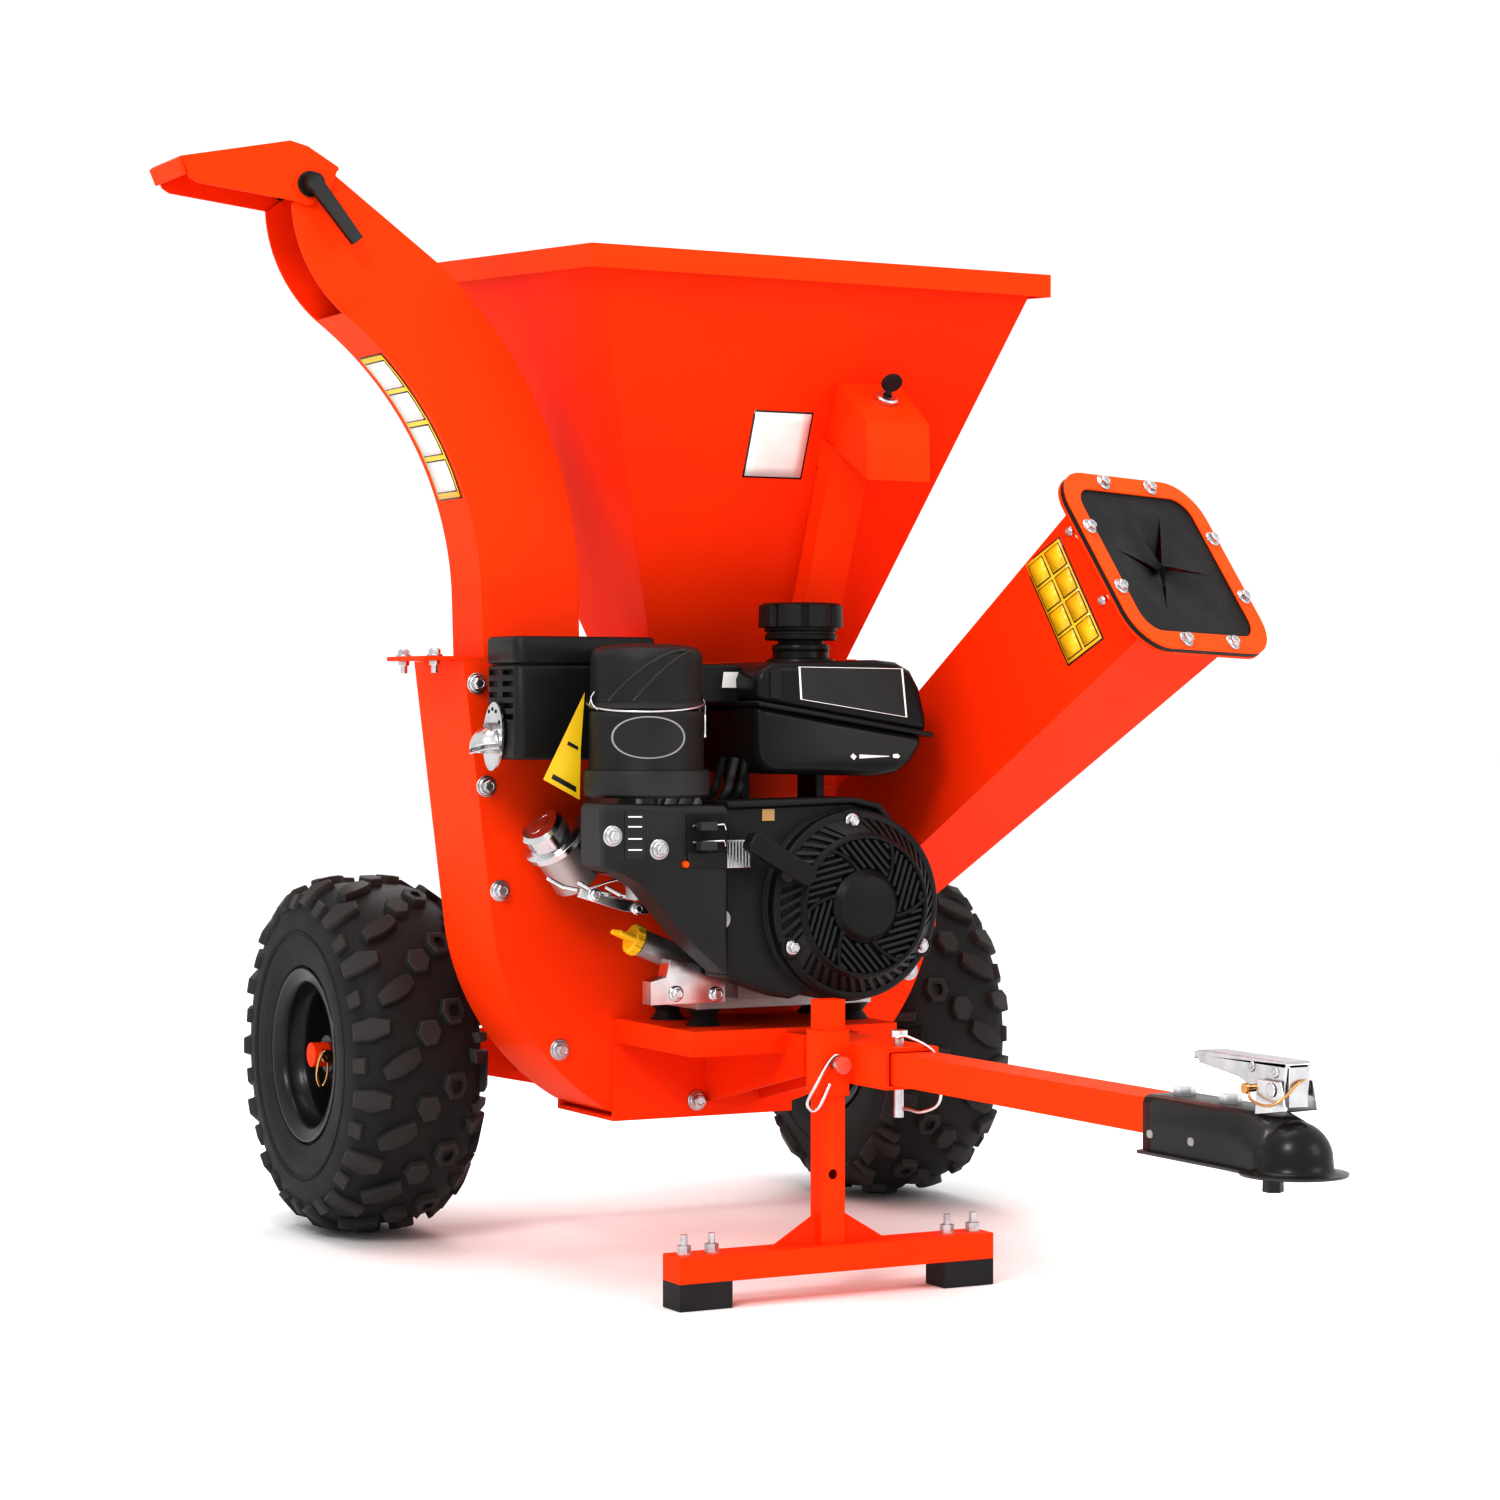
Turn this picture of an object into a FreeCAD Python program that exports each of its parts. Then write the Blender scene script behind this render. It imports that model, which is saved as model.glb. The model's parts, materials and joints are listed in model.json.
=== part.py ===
"""Towable wood chipper and shredder: a parametric assembly, in millimetres.

Machine coordinates: +X points forward along the tow tongue, +Y to the left, +Z up, with the ground
at z = 0, the axle over X = 0 and the tongue's centre line over Y = 0. Every sub-part is then moved
by origin_x and origin_y, so that the origin is the middle of the machine's footprint.
"""
import FreeCAD, Part
import math
import os
import re
import Sketcher

SIZES = {
    # origin of the part, measured from the axle and the tongue line
    "origin_x": -535, "origin_y": 79.75,
    # wheels and axle
    "tyre_radius": 184, "tyre_half": 74, "bead_radius": 78, "tyre_wall": 12,
    "barrel_radius": 77, "rim_wall": 3, "lip_radius": 89, "rim_half": 64,
    "hub_radius": 20, "hub_half": 40, "hub_bore": 12.6, "axle_radius": 12.5,
    "track": 615, "wheels_y": 34, "axle_out": 364, "axle_tube": 30,
    "pin_radius": 4, "ring_radius": 17,
    # frame under the rotor housing and the engine
    "sheet": 4, "deck_top": 237, "deck_front": 466, "deck_right": -130, "deck_left": 90, "deck_lip": 24,
    "foot_z": 141, "cradle_bolt_y": -43, "cradle_bolt_z": 153, "foot_right": -134, "foot_left": 64, "arm_y": 95,
    # receiver, tongue and stand
    "receiver_wide": 55.4, "receiver_high": 37.4, "receiver_wall": 3.6, "receiver_front": 646,
    "receiver_rear": 340, "tongue_z": 213.5, "tongue_wide": 43, "tongue_high": 28.6, "tongue_wall": 3,
    "tongue_rear": 480, "tongue_front": 1150, "tongue_pin_x": 622,
    "sleeve_wide": 30, "sleeve_long": 27, "sleeve_low": 184, "sleeve_top": 244, "stand_x": 566.5,
    "post_wide": 25, "post_long": 20, "post_wall": 2, "post_top": 272, "bar_y": -40,
    "bar_wide": 329, "bar_long": 34, "bar_low": 24, "bar_top": 48, "foot_wide": 53, "stud_radius": 3.2,
    # coupler
    "coupler_rear": 1047, "coupler_half": 25, "coupler_low": 184, "coupler_wall": 3,
    "ball_x": 1212, "ball_z": 196, "dome_radius": 30, "nose_x": 1254, "lever_x": 1206, "lever_z": 249,
    # rotor housing
    "plate_front": 300, "housing_rear": 180, "crank_y": 18, "crank_z": 354, "scroll_radius": 213,
    "housing_top": 584, "rotor_radius": 192, "disc_thick": 12, "disc_x": 262, "shaft_radius": 12.5,
    "bearing_radius": 45,
    # hopper
    "throat_half": 108, "hopper_half": 242, "hopper_front": 452, "hopper_rear": 28,
    "hopper_front_z": 966, "hopper_rear_z": 992, "rim_band": 22, "rim_out": 8, "hopper_wall": 3,
    # discharge chute and its hood
    "chute_right": 228, "chute_wall": 3, "hood_y": -447, "hood_z": 1024, "hood_gap": 1,
    # ignition switch on the hopper's front wall: out from the wall, across the machine, up along the wall
    "box_wall": 3, "box_right": 56, "box_left": 126, "box_high": 292, "box_low": 233, "box_front": 69,
    "box_front_high": 273, "box_front_low": 222, "box_deep": 91, "channel_right": 52, "channel_left": 96,
    "channel_low": 60, "channel_out": 24, "lock_in": 30, "lock_y": 96,
    # feed chute
    "mouth_x": 622, "mouth_y": 289, "mouth_z": 673, "mouth_size": 204, "mouth_round": 42, "mouth_open": 164,
    "feed_wide": 140, "feed_high": 155, "root_wide": 96, "root_high": 108, "feed_wall": 3, "feed_long": 470,
    # engine
    "mount_rear": 330, "mount_long": 75.5, "mount_wide": 162, "mount_y": -7, "isolator_high": 16,
    "isolator_radius": 17, "case_rear": 322, "case_front": 452, "case_right": -75, "case_left": 62,
    "case_top": 430, "blower_radius": 92, "grille_radius": 67, "cap_radius": 33.5,
    "recoil_front": 537, "flywheel_radius": 76,
    "tank_rear": 332, "tank_front": 482, "tank_right": -72, "tank_left": 116, "tank_low": 473,
    "tank_top": 585, "tank_wall": 7, "fuel_cap_x": 415, "fuel_cap_y": 12, "fuel_cap_radius": 41,
    "cleaner_x": 460, "cleaner_y": -176, "cleaner_radius": 54, "cleaner_foot": 59, "cleaner_low": 456,
    "cleaner_split": 537, "cleaner_top": 599,
    "cover_rear": 470, "cover_front": 518, "cover_right": -251, "cover_left": -118, "cover_low": 392,
    "guard_rear": 326, "guard_front": 399, "guard_right": -280, "guard_left": -134, "guard_low": 490,
    "guard_top": 606, "rocker_radius": 26, "rocker_long": 28, "filler_radius": 13, "filler_long": 103,
    "filler_z": 279.5, "handle_half": 38,
}

doc = FreeCAD.newDocument("wood_chipper")
sheet = doc.addObject("Spreadsheet::Sheet", "Size")
for row, (alias, number) in enumerate(SIZES.items(), start=1):
    sheet.set("A%d" % row, alias)
    sheet.set("B%d" % row, str(number))
    sheet.setAlias("B%d" % row, alias)
doc.recompute()

Vec = FreeCAD.Vector
WORD = re.compile(r"[A-Za-z_]\w*")
TURNS = {
    "X": FreeCAD.Rotation(Vec(0, 1, 0), 90),
    "Y": FreeCAD.Rotation(Vec(1, 0, 0), -90),
    "Z": FreeCAD.Rotation(),
}
PLANES = {"XY": "XY_Plane", "XZ": "XZ_Plane", "YZ": "YZ_Plane"}
places = {}
nodes = []
serial = [0]


def size(alias):
    """A driving dimension, read from the sheet."""
    return float(sheet.get(alias))


def sized(text):
    """An expression in which each driving dimension is a cell of the sheet."""
    return WORD.sub(lambda found: "Size." + found.group() if found.group() in SIZES else found.group(), str(text))


def bind(obj, **properties):
    """Binds properties of an object to expressions in the driving dimensions."""
    for name, expression in properties.items():
        obj.setExpression(name, sized(expression))
    return obj


def place(obj, at, turn=None):
    """Puts an object at a place whose coordinates are expressions."""
    if turn is not None:
        obj.Placement = FreeCAD.Placement(Vec(0, 0, 0), turn)
    for axis, expression in zip("xyz", at):
        obj.setExpression("Placement.Base." + axis, sized(expression))
    places[obj.Name] = at
    return obj


def turn_of(axis):
    """The turn that points a piece's own Z along a named axis, or a turn given as it is."""
    return TURNS[axis] if isinstance(axis, str) else axis


def fresh(kind):
    """A new object with a name of its own."""
    serial[0] += 1
    return doc.addObject(kind, "Piece%03d" % serial[0])


def box(spans, turn=None, at=None):
    """A box from three (low, high) spans of expressions, or turned about a corner put at a place."""
    obj = fresh("Part::Box")
    lengths = ["(%s) - (%s)" % (high, low) for low, high in spans]
    bind(obj, Length=lengths[0], Width=lengths[1], Height=lengths[2])
    corner = [low for low, high in spans]
    if at is not None:
        shifted = turn.multVec(Vec(*[float(low) for low in corner]))
        corner = ["(%s) + (%s)" % (base, move) for base, move in zip(at, shifted)]
    return place(obj, corner, turn)


def cylinder(radius, length, at, axis="Z"):
    """A cylinder that starts at a place and runs along an axis."""
    obj = fresh("Part::Cylinder")
    bind(obj, Radius=radius, Height=length)
    return place(obj, at, turn_of(axis))


def cone(low_radius, high_radius, length, at, axis="Z"):
    """A cone or taper that starts at a place and runs along an axis."""
    obj = fresh("Part::Cone")
    bind(obj, Radius1=low_radius, Radius2=high_radius, Height=length)
    return place(obj, at, turn_of(axis))


def torus(ring, wire, at, axis="Z"):
    """A ring of round wire."""
    obj = fresh("Part::Torus")
    bind(obj, Radius1=ring, Radius2=wire)
    return place(obj, at, turn_of(axis))


def hexagon(radius, length, at, axis="Z"):
    """A hexagonal prism, such as a nut or a bolt's head."""
    obj = fresh("Part::Prism")
    obj.Polygon = 6
    bind(obj, Circumradius=radius, Height=length)
    return place(obj, at, turn_of(axis))


def fuse(*pieces):
    """One solid made of several that touch or cross."""
    obj = fresh("Part::MultiFuse")
    obj.Shapes = list(pieces)
    return obj


def cut(base, *tools):
    """A solid with other solids taken away."""
    obj = fresh("Part::Cut")
    obj.Base = base
    obj.Tool = tools[0] if len(tools) == 1 else fuse(*tools)
    return obj


def group(*pieces):
    """Separate solids that share one node."""
    obj = fresh("Part::Compound")
    obj.Links = list(pieces)
    return obj


def made(shape):
    """A shape built directly from the sheet's sizes."""
    obj = fresh("Part::Feature")
    obj.Shape = shape if shape.Placement.isIdentity() else Part.makeCompound([shape])
    return obj


def profile(body, plane, points):
    """A closed outline of straight lines, each corner held by two bound dimensions."""
    sketch = body.newObject("Sketcher::SketchObject", "Outline%03d" % serial[0])
    origin_plane = [item for item in body.Origin.OriginFeatures if item.Role == PLANES[plane]][0]
    sketch.AttachmentSupport = (origin_plane, [""])
    sketch.MapMode = "FlatFace"
    count = len(points)
    rough = [Vec(*[float(sheet_value(word)) for word in point], 0) for point in points]
    for index in range(count):
        sketch.addGeometry(Part.LineSegment(rough[index], rough[(index + 1) % count]), False)
    for index in range(count):
        sketch.addConstraint(Sketcher.Constraint("Coincident", index, 2, (index + 1) % count, 1))
    for index, point in enumerate(points):
        for kind, word, here in (("DistanceX", point[0], rough[index].x), ("DistanceY", point[1], rough[index].y)):
            number = sketch.addConstraint(Sketcher.Constraint(kind, -1, 1, index, 1, here))
            sketch.setExpression("Constraints[%d]" % number, sized(word))
    return sketch


def sheet_value(word):
    """The number that an expression gives now, worked out by the sheet itself."""
    sheet.set("D1", "=" + WORD.sub(lambda found: cell_of(found.group()), str(word)))
    sheet.recompute()
    return sheet.get("D1")


def cell_of(alias):
    """The address of a driving dimension's cell."""
    return "B%d" % (list(SIZES).index(alias) + 1)


def padded(plane, points, thickness, at):
    """A flat piece: an outline padded to a thickness."""
    serial[0] += 1
    body = doc.addObject("PartDesign::Body", "Body%03d" % serial[0])
    sketch = profile(body, plane, points)
    pad = body.newObject("PartDesign::Pad", "Pad%03d" % serial[0])
    pad.Profile = sketch
    pad.setExpression("Length", sized(thickness))
    sketch.Visibility = False
    return place(body, at)


def turned(points, at, turn=None):
    """A round piece: an outline of (radius, height) corners revolved about its height axis."""
    serial[0] += 1
    body = doc.addObject("PartDesign::Body", "Body%03d" % serial[0])
    sketch = profile(body, "XZ", points)
    spin = body.newObject("PartDesign::Revolution", "Spin%03d" % serial[0])
    spin.Profile = sketch
    spin.ReferenceAxis = (sketch, ["V_Axis"])
    spin.Angle = 360
    return place(body, at, turn)


def node(name, obj):
    """Names a finished sub-part and moves it from machine coordinates to the part's own origin."""
    obj.Label = name
    at = places.get(obj.Name, (0, 0, 0))
    obj.setExpression("Placement.Base.x", sized("(%s) + origin_x" % at[0]))
    obj.setExpression("Placement.Base.y", sized("(%s) + origin_y" % at[1]))
    obj.setExpression("Placement.Base.z", sized(at[2]))
    nodes.append(obj)
    return obj


# ---- wheels and axle -------------------------------------------------------------------------

def tyre_outline():
    """One side's cross-section of the tyre, mirrored to make the whole."""
    outer = [("bead_radius", "tyre_half - 14"), ("bead_radius + 13", "tyre_half - 13.5"),
             ("bead_radius + 24", "tyre_half - 4"),
             ("bead_radius + 58", "tyre_half"), ("tyre_radius - 18", "tyre_half - 3"),
             ("tyre_radius - 6", "tyre_half - 18"), ("tyre_radius", "tyre_half - 48")]
    inner = [("tyre_radius - tyre_wall", "tyre_half - 50"), ("tyre_radius - 24", "tyre_half - 26"),
             ("bead_radius + 58", "tyre_half - 10"), ("bead_radius + 24", "tyre_half - 13"),
             ("bead_radius", "tyre_half - 26")]

    def below(points):
        return [(radius, "-(%s)" % height) for radius, height in reversed(points)]
    return outer + below(outer) + below(inner) + inner


def rim_outline():
    """The wheel: two lips, a barrel, a web and a hub tube."""
    half = [("hub_bore", "hub_half"), ("hub_radius", "hub_half"), ("hub_radius", "rim_wall"),
            ("barrel_radius - rim_wall", "rim_wall"), ("barrel_radius - rim_wall", "rim_half"),
            ("lip_radius", "rim_half"), ("lip_radius", "rim_half - rim_wall"),
            ("barrel_radius", "rim_half - rim_wall")]
    lower = [(radius, "-(%s)" % height) for radius, height in reversed(half)]
    return half + lower


def make_wheel(side, sign):
    """One tyre on its steel rim, centred on the axle."""
    centre = ("0", "wheels_y %s track / 2" % sign, "tyre_radius")
    node("tyre_" + side, turned(tyre_outline(), centre, TURNS["Y"]))
    node("rim_" + side, turned(rim_outline(), centre, TURNS["Y"]))


def make_axle():
    """A round axle in a square tube, with two arms and two gusset plates to the rotor housing."""
    bar = cylinder("axle_radius", "2 * axle_out", ("0", "wheels_y - axle_out", "tyre_radius"), "Y")
    half = "axle_tube / 2"
    inner = "track / 2 - 58"
    tube = box([("-" + half, half), ("wheels_y - (%s)" % inner, "wheels_y + %s" % inner),
                ("tyre_radius - " + half, "tyre_radius + " + half)])
    arms = [box([("0", "housing_rear - sheet - 4"), (middle + " - 15", middle + " + 15"),
                 ("tyre_radius - 24", "tyre_radius + 20")]) for middle in ("-arm_y", "arm_y - 60")]
    gusset = [("-208", "169"), ("-80", "143"), ("-80", "212"), ("-208", "199")]
    other = [("276", "169"), ("276", "199"), ("50", "212"), ("50", "143")]
    plates = [padded("YZ", outline, "sheet", (half, "0", "0")) for outline in (gusset, other)]
    holes = [cylinder("pin_radius", "60", ("-30", spot, "tyre_radius"), "X") for spot in axle_pin_spots()]
    node("axle_beam", cut(fuse(bar, tube, *arms, *plates), *holes))


def axle_pin_spots():
    """Where the lynch pins cross the axle, near its two ends."""
    return ["wheels_y - axle_out + 9", "wheels_y + axle_out - 9"]


# ---- frame, stand and tongue -----------------------------------------------------------------

def square_tube(spans, wall, through):
    """A rectangular tube, open at both ends along one axis."""
    outer = box(spans)
    hollow = []
    for axis, (low, high) in zip("XYZ", spans):
        if axis == through:
            hollow.append(("%s - 1" % low, "%s + 1" % high))
        else:
            hollow.append(("%s + %s" % (low, wall), "%s - %s" % (high, wall)))
    return cut(outer, box(hollow))


def receiver_spans(extra):
    """The receiver's cross-section, made larger all round by an amount."""
    half = "(receiver_wide / 2 + %s)" % extra
    high = "(receiver_high / 2 + %s)" % extra
    return [("-" + half, half), ("tongue_z - " + high, "tongue_z + " + high)]


def make_frame():
    """Engine deck, receiver tube, stand sleeve, gussets and the cradle under the rotor housing."""
    deck_low = "deck_top - sheet"
    lip_low = "deck_top - deck_lip"
    front = ("plate_front", "deck_front")
    deck = box([front, ("deck_right", "deck_left"), (deck_low, "deck_top")])
    right = box([front, ("deck_right", "deck_right + sheet"), (lip_low, "deck_top")])
    left = box([front, ("deck_left - sheet", "deck_left"), (lip_low, "deck_top")])
    lip = box([("deck_front - sheet", "deck_front"), ("deck_right", "deck_left"), (lip_low, "deck_top")])
    receiver = box([("receiver_rear", "receiver_front")] + receiver_spans("0"))
    bore = box([("receiver_rear - 1", "receiver_front + 1")] + receiver_spans("0 - receiver_wall"))
    across = ("foot_right", "foot_left")
    cradle_front = box([("plate_front", "plate_front + sheet"), across, ("foot_z - sheet", "deck_top")])
    cradle = box([("housing_rear - sheet", "plate_front + sheet"), across, ("foot_z - sheet", "foot_z")])
    cradle_rear = box([("housing_rear - sheet", "housing_rear"), across, ("foot_z - sheet", "deck_top")])
    gussets = [padded("XZ", [("plate_front", "150"), ("plate_front", deck_low), ("deck_front + 34", deck_low),
                             ("deck_front + 34", "tongue_z - receiver_high / 2")], "sheet",
                      ("0", where, "0")) for where in ("-receiver_wide / 2", "receiver_wide / 2 + sheet")]
    sleeve_y = stand_middle()
    sleeve = box(post_spans("sleeve_wide", "sleeve_long", sleeve_y) + [("sleeve_low", "sleeve_top")])
    hole = box(post_spans("post_wide + 0.6", "post_long + 0.6", sleeve_y) + [("sleeve_low - 1", "sleeve_top + 1")])
    stand_hole = cylinder("4.7", "60", ("stand_x - 30", sleeve_y, "tongue_z"), "X")
    tongue_hole = cylinder("4.7", "60", ("tongue_pin_x", "0", "tongue_z - 30"), "Z")
    mounts = [cylinder("4.5", "20", spot[:2] + ("deck_top - 15",), "Z") for spot in mount_spots()]
    mounts.append(cylinder("4.1", "10", ("plate_front - 2", "cradle_bolt_y", "cradle_bolt_z"), "X"))
    welded = fuse(deck, right, left, lip, receiver, cradle_front, cradle, cradle_rear, *gussets, sleeve)
    node("main_frame", cut(welded, bore, hole, stand_hole, tongue_hole, *mounts))


def post_spans(wide, long_side, middle):
    """The stand post's cross-section, about its place beside the receiver."""
    return [("stand_x - (%s) / 2" % long_side, "stand_x + (%s) / 2" % long_side),
            ("%s - (%s) / 2" % (middle, wide), "%s + (%s) / 2" % (middle, wide))]


def mount_spots():
    """Where the engine's four feet stand on the deck."""
    spots = []
    for along in ("mount_rear", "mount_rear + mount_long"):
        for side in ("-", "+"):
            spots.append((along, "mount_y %s mount_wide / 2" % side, "deck_top"))
    return spots


def stud_spots():
    """Where the studs of the two rubber feet come up through the foot bar."""
    return ["bar_y %s" % offset for offset in ("- 152", "- 124", "+ 124", "+ 152")]


def make_stand():
    """The height-adjusting post, welded to a foot bar with two gussets."""
    middle = stand_middle()
    post = square_tube(post_spans("post_wide", "post_long", middle) + [("bar_top", "post_top")], "post_wall", "Z")
    bar = box([("stand_x + 19 - bar_long", "stand_x + 19"), ("bar_y - bar_wide / 2", "bar_y + bar_wide / 2"),
               ("bar_low", "bar_top")])
    right_edge = "%s - post_wide / 2" % middle
    left_edge = "%s + post_wide / 2" % middle
    right = padded("YZ", [(right_edge, "bar_top"), (right_edge, "bar_top + 29"), (right_edge + " - 48", "bar_top")],
                   "sheet", ("stand_x", "0", "0"))
    left = padded("YZ", [(left_edge, "bar_top"), (left_edge + " + 48", "bar_top"), (left_edge, "bar_top + 29")],
                  "sheet", ("stand_x", "0", "0"))
    holes = [cylinder("4.7", "60", ("stand_x - 30", middle, height), "X") for height in ("tongue_z", "112")]
    studs = [cylinder("stud_radius + 0.1", "40", ("stand_x + 2", spot, "bar_low - 8"), "Z") for spot in stud_spots()]
    node("stand", cut(fuse(post, bar, right, left), *holes, *studs))


def make_stand_feet():
    """Two rubber blocks under the foot bar, with holes for their studs."""
    feet = []
    ends = (("bar_y - bar_wide / 2", "bar_y - bar_wide / 2 + foot_wide"),
            ("bar_y + bar_wide / 2 - foot_wide", "bar_y + bar_wide / 2"))
    for span, studs in zip(ends, (stud_spots()[:2], stud_spots()[2:])):
        block = box([("stand_x + 19 - bar_long", "stand_x + 19"), span, ("0", "bar_low")])
        holes = [cylinder("stud_radius + 0.1", "30", ("stand_x + 2", spot, "8"), "Z") for spot in studs]
        feet.append(cut(block, *holes))
    node("stand_feet", group(*feet))


def make_foot_studs():
    """Four studs with washers and nuts on top of the foot bar."""
    studs = []
    for spot in stud_spots():
        stud = cylinder("stud_radius", "57", ("stand_x + 2", spot, "9"), "Z")
        washer = cylinder("7", "1.5", ("stand_x + 2", spot, "bar_top"), "Z")
        nut = hexagon("6.5", "7", ("stand_x + 2", spot, "bar_top + 1.5"), "Z")
        studs.append(fuse(stud, washer, nut))
    node("foot_studs", group(*studs))


def make_tongue():
    """The tow bar: a rectangular tube that slides in the receiver."""
    spans = [("tongue_rear", "tongue_front"), ("-tongue_wide / 2", "tongue_wide / 2"),
             ("tongue_z - tongue_high / 2", "tongue_z + tongue_high / 2")]
    tube = square_tube(spans, "tongue_wall", "X")
    pin_hole = cylinder("4.7", "60", ("tongue_pin_x", "0", "tongue_z - 30"), "Z")
    bolts = [cylinder("5.1", "60", (spot, "0", "tongue_z - 30"), "Z") for spot in coupler_bolt_spots()]
    node("tongue", cut(tube, pin_hole, *bolts))


def coupler_bolt_spots():
    """Where the two bolts that hold the coupler pass through the tongue."""
    return ("coupler_rear + 22", "coupler_rear + 84")


def latch_ears(top):
    """The two ears, with their feet, that the latch lever hinges in."""
    ears = []
    for low, high, foot_low, foot_high in (("-17", "-14", "-17", "-5"), ("14", "17", "5", "17")):
        ears.append(box([("lever_x - 9", "lever_x + 9"), (low, high), (top, "lever_z + 8")]))
        ears.append(box([("lever_x - 30", "lever_x + 20"), (foot_low, foot_high), (top, top + " + 2")]))
    return ears


def make_coupler():
    """A pressed channel that ends in a dome over the tow ball, with a turned-out lower lip."""
    top = "tongue_z + tongue_high / 2 + 0.2 + coupler_wall"
    shell = box([("coupler_rear", "ball_x"), ("-coupler_half", "coupler_half"), ("coupler_low", top)])
    inside = box([("coupler_rear - 1", "ball_x"), ("coupler_wall - coupler_half", "coupler_half - coupler_wall"),
                  ("coupler_low - 1", top + " - coupler_wall")])
    skirt = cylinder("dome_radius", "ball_z - coupler_low", ("ball_x", "0", "coupler_low"), "Z")
    dome = fresh("Part::Sphere")
    bind(dome, Radius="dome_radius")
    place(dome, ("ball_x", "0", "ball_z"))
    below = box([("ball_x - 60", "ball_x + 60"), ("-60", "60"), ("coupler_low - 60", "coupler_low")])
    socket_low = cylinder("dome_radius - coupler_wall", "ball_z - coupler_low + 1", ("ball_x", "0", "coupler_low - 1"))
    socket = fresh("Part::Sphere")
    bind(socket, Radius="dome_radius - coupler_wall")
    place(socket, ("ball_x", "0", "ball_z"))
    lip = box([("coupler_rear", "ball_x"), ("-coupler_half - 6", "coupler_half + 6"),
               ("coupler_low", "coupler_low + coupler_wall")])
    nose = cylinder("nose_x - ball_x", "coupler_wall", ("ball_x", "0", "coupler_low"), "Z")
    nose_keep = box([("ball_x - 60", "ball_x + 60"), ("-coupler_half - 14", "coupler_half + 14"),
                     ("coupler_low - 9", "coupler_low + 9")])
    brim = fresh("Part::MultiCommon")
    brim.Shapes = [nose, nose_keep]
    bolts = [cylinder("5.1", "60", (spot, "0", "tongue_z - 10"), "Z") for spot in coupler_bolt_spots()]
    slots = [cylinder("4", "80", (spot, "-40", "coupler_low + 16"), "Y") for spot in ("coupler_rear + 10",
                                                                                  "coupler_rear + 66")]
    slot = box([("lever_x - 26", "lever_x + 14"), ("-4.5", "4.5"), (top + " - 8", top + " + 30")])
    pivot = cylinder("4.05", "40", ("lever_x", "-20", "lever_z"), "Y")
    solid = fuse(shell, skirt, dome, lip, brim, *latch_ears(top))
    whole = (inside, socket, socket_low, below, slot, pivot, *bolts, *slots)
    seam = "ball_x - dome_radius"
    sides = ("-60", "60")
    heights = ("coupler_low - 1", "lever_z + 20")
    rear_half = box([("coupler_rear - 1", seam), sides, heights])
    front_half = box([(seam, "nose_x + 1"), sides, heights])
    node("coupler", group(cut(solid, front_half, *whole), cut(solid, rear_half, *whole)))


def make_coupler_bolts():
    """Two bolts down through the coupler and the tongue."""
    top = "tongue_z + tongue_high / 2 + 0.2 + coupler_wall"
    low = "tongue_z - tongue_high / 2"
    bolts = []
    for spot in coupler_bolt_spots():
        shank = cylinder("5", "(%s) - (%s) + 8" % (top, low), (spot, "0", low + " - 8"), "Z")
        head = hexagon("9", "7", (spot, "0", top), "Z")
        nut = hexagon("9", "7", (spot, "0", low + " - 7"), "Z")
        bolts.append(fuse(shank, head, nut))
    node("coupler_bolts", group(*bolts))


def make_coupler_latch():
    """The hand lever, its two cheeks, its hinge pin and the safety pin on its wire."""
    handle = padded("XZ", [("-108", "18"), ("-100", "13"), ("0", "14"), ("12", "14"), ("12", "22"), ("-104", "22")],
                    "24", ("lever_x", "12", "lever_z"))
    cheek_points = [("-36", "7"), ("0", "-6"), ("9", "-6"), ("12", "16"), ("-30", "14")]
    cheeks = [padded("XZ", cheek_points, "3", ("lever_x", where, "lever_z")) for where in ("12", "-9")]
    leg = box([("lever_x + 8", "lever_x + 12"), ("-9", "9"), ("lever_z - 9", "lever_z + 20")])
    safety = cylinder("3", "40", ("lever_x - 24", "-20", "lever_z + 5"), "Y")
    wire = torus("13", "1.2", ("lever_x - 12", "-19.2", "lever_z - 1"), "Y")
    tongue_plate = box([("lever_x - 4", "lever_x + 4"), ("-3", "3"), ("lever_z - 15", "lever_z + 16")])
    pivot = cylinder("4", "36", ("lever_x", "-18", "lever_z"), "Y")
    node("coupler_latch", fuse(handle, *cheeks, leg, safety, wire, tongue_plate, pivot))


def make_pins():
    """The hitch pins that lock the stand post and the tongue."""
    middle = stand_middle()
    rear = "stand_x - sleeve_long / 2"
    rod = cylinder("4.5", "sleeve_long + 30", (rear + " - 18", middle, "tongue_z"), "X")
    head = cylinder("8", "6", (rear + " + sleeve_long + 10", middle, "tongue_z"), "X")
    node("stand_pin", fuse(rod, head))
    low = "tongue_z - receiver_high / 2"
    shank = cylinder("4.5", "receiver_high + 38", ("tongue_pin_x", "0", low + " - 28"), "Z")
    cap = cylinder("8", "6", ("tongue_pin_x", "0", low + " + receiver_high + 8"), "Z")
    node("tongue_pin", fuse(shank, cap))


def stand_middle():
    """The stand post's place beside the receiver, across the machine."""
    return "0 - receiver_wide / 2 - sleeve_wide / 2"


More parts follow.
